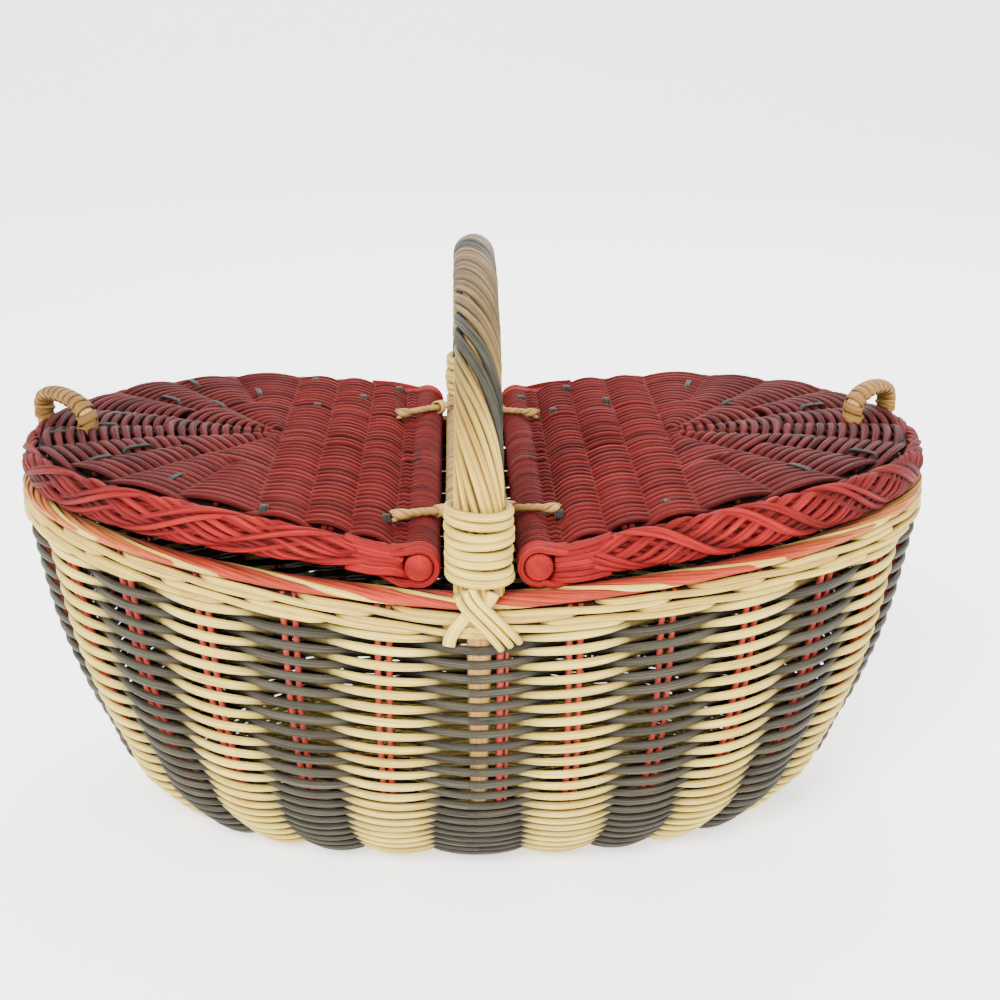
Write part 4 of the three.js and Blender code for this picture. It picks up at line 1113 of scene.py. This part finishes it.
def buildPull(side):
    coreBundle, cane = newBundle(), newBundle()
    inner, outer = (np.array([u, y, 0.0]) for u, y in pull["feet"][side])
    along = unit(outer - inner)
    across = np.array([-along[1], along[0], 0])
    base = float(lidTop(inner[0]))
    share = np.linspace(0, 1, 200)[:, None]
    arc = inner + (outer - inner) * (1 - np.cos(share * math.pi)) / 2
    arc[:, 2] = base + pull["rise"] * np.sin(share[:, 0] * math.pi) ** pull["flat"]
    ends = [np.array([foot[0], foot[1], float(lidTop(foot[0])) - 2]) for foot in (inner, outer)]
    legs = [end - [0, 0, pull["legDepth"]] for end in ends]
    whole = np.concatenate([[legs[0], ends[0]], arc[4:-4], [ends[1], legs[1]]])
    taper = np.concatenate([[0.55, 0.7], np.ones(len(arc) - 8), [1, 1]])
    tangent = unit(np.gradient(whole, axis=0))
    up = np.cross(across, tangent)
    addStrand(coreBundle, whole, pull["halfWidth"] * taper, pull["halfThin"] * taper, up, sides=14)
    wound = np.concatenate([[ends[0] - [0, 0, 3]], arc[4:-4], [ends[1] - [0, 0, 3]]])
    run = runOf(wound)
    turns = pull["turns"][side]
    count = turns * pull["steps"]
    place = np.linspace(pull["ends"], run[-1] - pull["ends"], count)
    centre = placesOn(wound, run, place)
    tangent = unit(np.gradient(centre, axis=0))
    up = np.cross(across, tangent)
    for hand, wide, lift in pull["canes"]:
        turn = np.linspace(0, hand * turns * 2 * math.pi, count) + 0.9
        # the second, narrower cane shows on the outer side alone, where it crosses the first
        raised = lift if hand > 0 else lift - 2.6 * smooth(0.35, -0.3, np.sin(turn))
        line = centre + around(across, up, turn, pull["halfWidth"] + raised, pull["halfThin"] + raised)
        facing = around(across, up, turn, 1 / pull["halfWidth"], 1 / pull["halfThin"])
        # painted shade at part of each turn of the cane
        paintedShade = 0.35 * smooth(0.8, 1, np.abs(np.cos(turn / 2)))
        addStrand(cane, line, wide, pull["caneThin"], facing, power=3, paintedShade=paintedShade)
    return coreBundle, cane


tie = {"reach": {"front_left": ((33, -108), (9, -86), 1.6, 3), "back_left": ((36, 68), (10, 105), 1.35, 3),
                 "front_right": ((32, -99), (6, -82), 1.25, 3), "back_right": ((30, 72), (6, 100), 1.25, 3)},
       "coil": 1.25, "fray": 3.2, "pitch": 15, "lift": 1.5, "knot": 2.4, "bigKnot": 3.2,
       "knotFrom": 0.66, "knotTo": 0.76, "knotTurns": 2.5, "knotSteps": 40}


def tieHeight(u):
    return float(lidTop(max(u, lid["dowelOffset"]))) + tie["lift"]


# Twisted flat fibres from the bar over the dowel, with a loose tail on the lid
def buildTie(corner):
    bundle = newBundle()
    (u0, y0), (u1, y1), half, count = tie["reach"][corner]
    slope = (y1 - y0) / (u1 - u0)
    tail, dowel = u0 + 5, lid["dowelOffset"]
    spots = [(tail, 0.4, tieHeight(tail) - 1.4), (u0, 1, tieHeight(u0) - 0.4), (dowel, 1, tieHeight(dowel)),
             (18, 1, bar["top"] + 1.9), (13, 1, bar["top"] + 1.6), (u1, 1, bar["top"] + 1.0)]
    line = smoothPath([(u, y0 + slope * (u - u0) * share, z) for u, share, z in spots], 12)
    run = runOf(line)
    tangent = unit(np.gradient(line, axis=0))
    side = unit(np.cross(tangent, [0, 0, 1]))
    up = np.cross(side, tangent)
    spread = tie["coil"] * smooth(0, 6, run) + tie["fray"] * smooth(9, 0, run)
    for strand in range(count):
        turn = 2 * math.pi * (strand / count + run / tie["pitch"])
        facing = around(side, up, turn)
        path = line + facing * (spread * 0.62)[:, None]
        addStrand(bundle, path, half * 1.25, half * 0.6, facing, sides=7, tint=0.3 + 0.3 * strand)
    # a knot round the tie, close to the bar
    place = np.linspace(tie["knotFrom"], tie["knotTo"], tie["knotSteps"]) * run[-1]
    turn = np.linspace(0, tie["knotTurns"] * 2 * math.pi, tie["knotSteps"])
    centre, across, high = (placesOn(values, run, place) for values in (line, side, up))
    radius = tie["bigKnot"] if corner == "back_left" else tie["knot"]
    path = centre + around(across, high, turn, radius, radius)
    addStrand(bundle, path, 1.4, 0.6, path - centre, sides=6, tint=0.8)
    return bundle


def sided(bundle, side):
    return mirrorBundle(bundle) if side == "left" else bundle


def addLidPiece(side, name, bundle, material, parts):
    makeMesh(side + name, sided(bundle, side), material, f"{side}_lid", [f"{side}_{part}" for part in parts])


for side in ("left", "right"):
    addLidPiece(side, "LidWeave", buildLidWeave(), lidRed, ["lid_panel"])
    for number in range(3):
        addLidPiece(side, f"LidStakes{number + 1}", buildLidStakes(number), lidRed,
                    [f"lid_stake_{number + 1}"])
    addLidPiece(side, "LidFanStakes", buildFanStakes(), lidRed, [])
    addLidPiece(side, "LidPlait", buildPlait(side), plaitRed, ["lid_plait"])
    addLidPiece(side, "LidDowel", buildDowel(), plaitRed, ["lid_dowel"])
    addLidPiece(side, "LidRolls", buildRolls(side), plaitRed, [])
    addLidPiece(side, "LidStitches", buildStitches(side), stitchDark, [])
    coreBundle, cane = buildPull(side)
    addLidPiece(side, "PullCore", coreBundle, coreWood, ["pull_core"])
    addLidPiece(side, "PullCane", cane, caneTan, ["pull_wrap"])
    for place in ("front", "back"):
        fibres = makeMesh(f"{place}{side.capitalize()}Tie", sided(buildTie(f"{place}_{side}"), side),
                          tieFibre, None, [f"{place}_{side}_hinge_tie"])
        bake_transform(fibres)
print("lids woven")


base = {"spine": 0.36, "rows": 29, "reed": 1.3, "swing": 1.3, "spoke": 1.35, "columnSteps": 6, "height": 4.1,
        "first": 0.03, "last": 0.985, "halfWidth": 2.0}


def buildBase():
    weavers, spokes = newBundle(), newBundle()
    column = columnsBy(base["columnSteps"])
    edge = wallMiddle(angleAt(column), np.zeros(len(column))) * [1, 1, 0]
    for row, share in enumerate(np.linspace(base["first"], base["last"], base["rows"])):
        swing = np.cos(math.pi * (column - row))
        line = edge * [base["spine"] + (1 - base["spine"]) * share, share, 0]
        line[:, 2] = base["height"] + base["swing"] * swing * smooth(0, 0.25, share)
        # painted shade beside each crossing
        addStrand(weavers, line, base["halfWidth"], base["reed"], [0, 0, 1], closed=True, sides=6,
                  paintedShade=0.5 * smooth(0.3, -0.6, np.abs(swing)))
    for stake in range(wall["stakes"]):
        at = edge[stake * base["columnSteps"]]
        share = np.array([base["first"], 0.5, 1.0])[:, None]
        path = at * (np.array([base["spine"], 0, 0]) + share * [1 - base["spine"], 1, 0])
        path[:, 2] = base["height"]
        addStrand(spokes, path, base["spoke"], base["spoke"], [0, 0, 1])
    makeMesh("baseWeave", weavers, naturalReed, "basket", ["base_panel"])
    makeMesh("baseSpokes", spokes, stakeRed, "basket", ["base_panel"])


buildBase()
print("base woven")
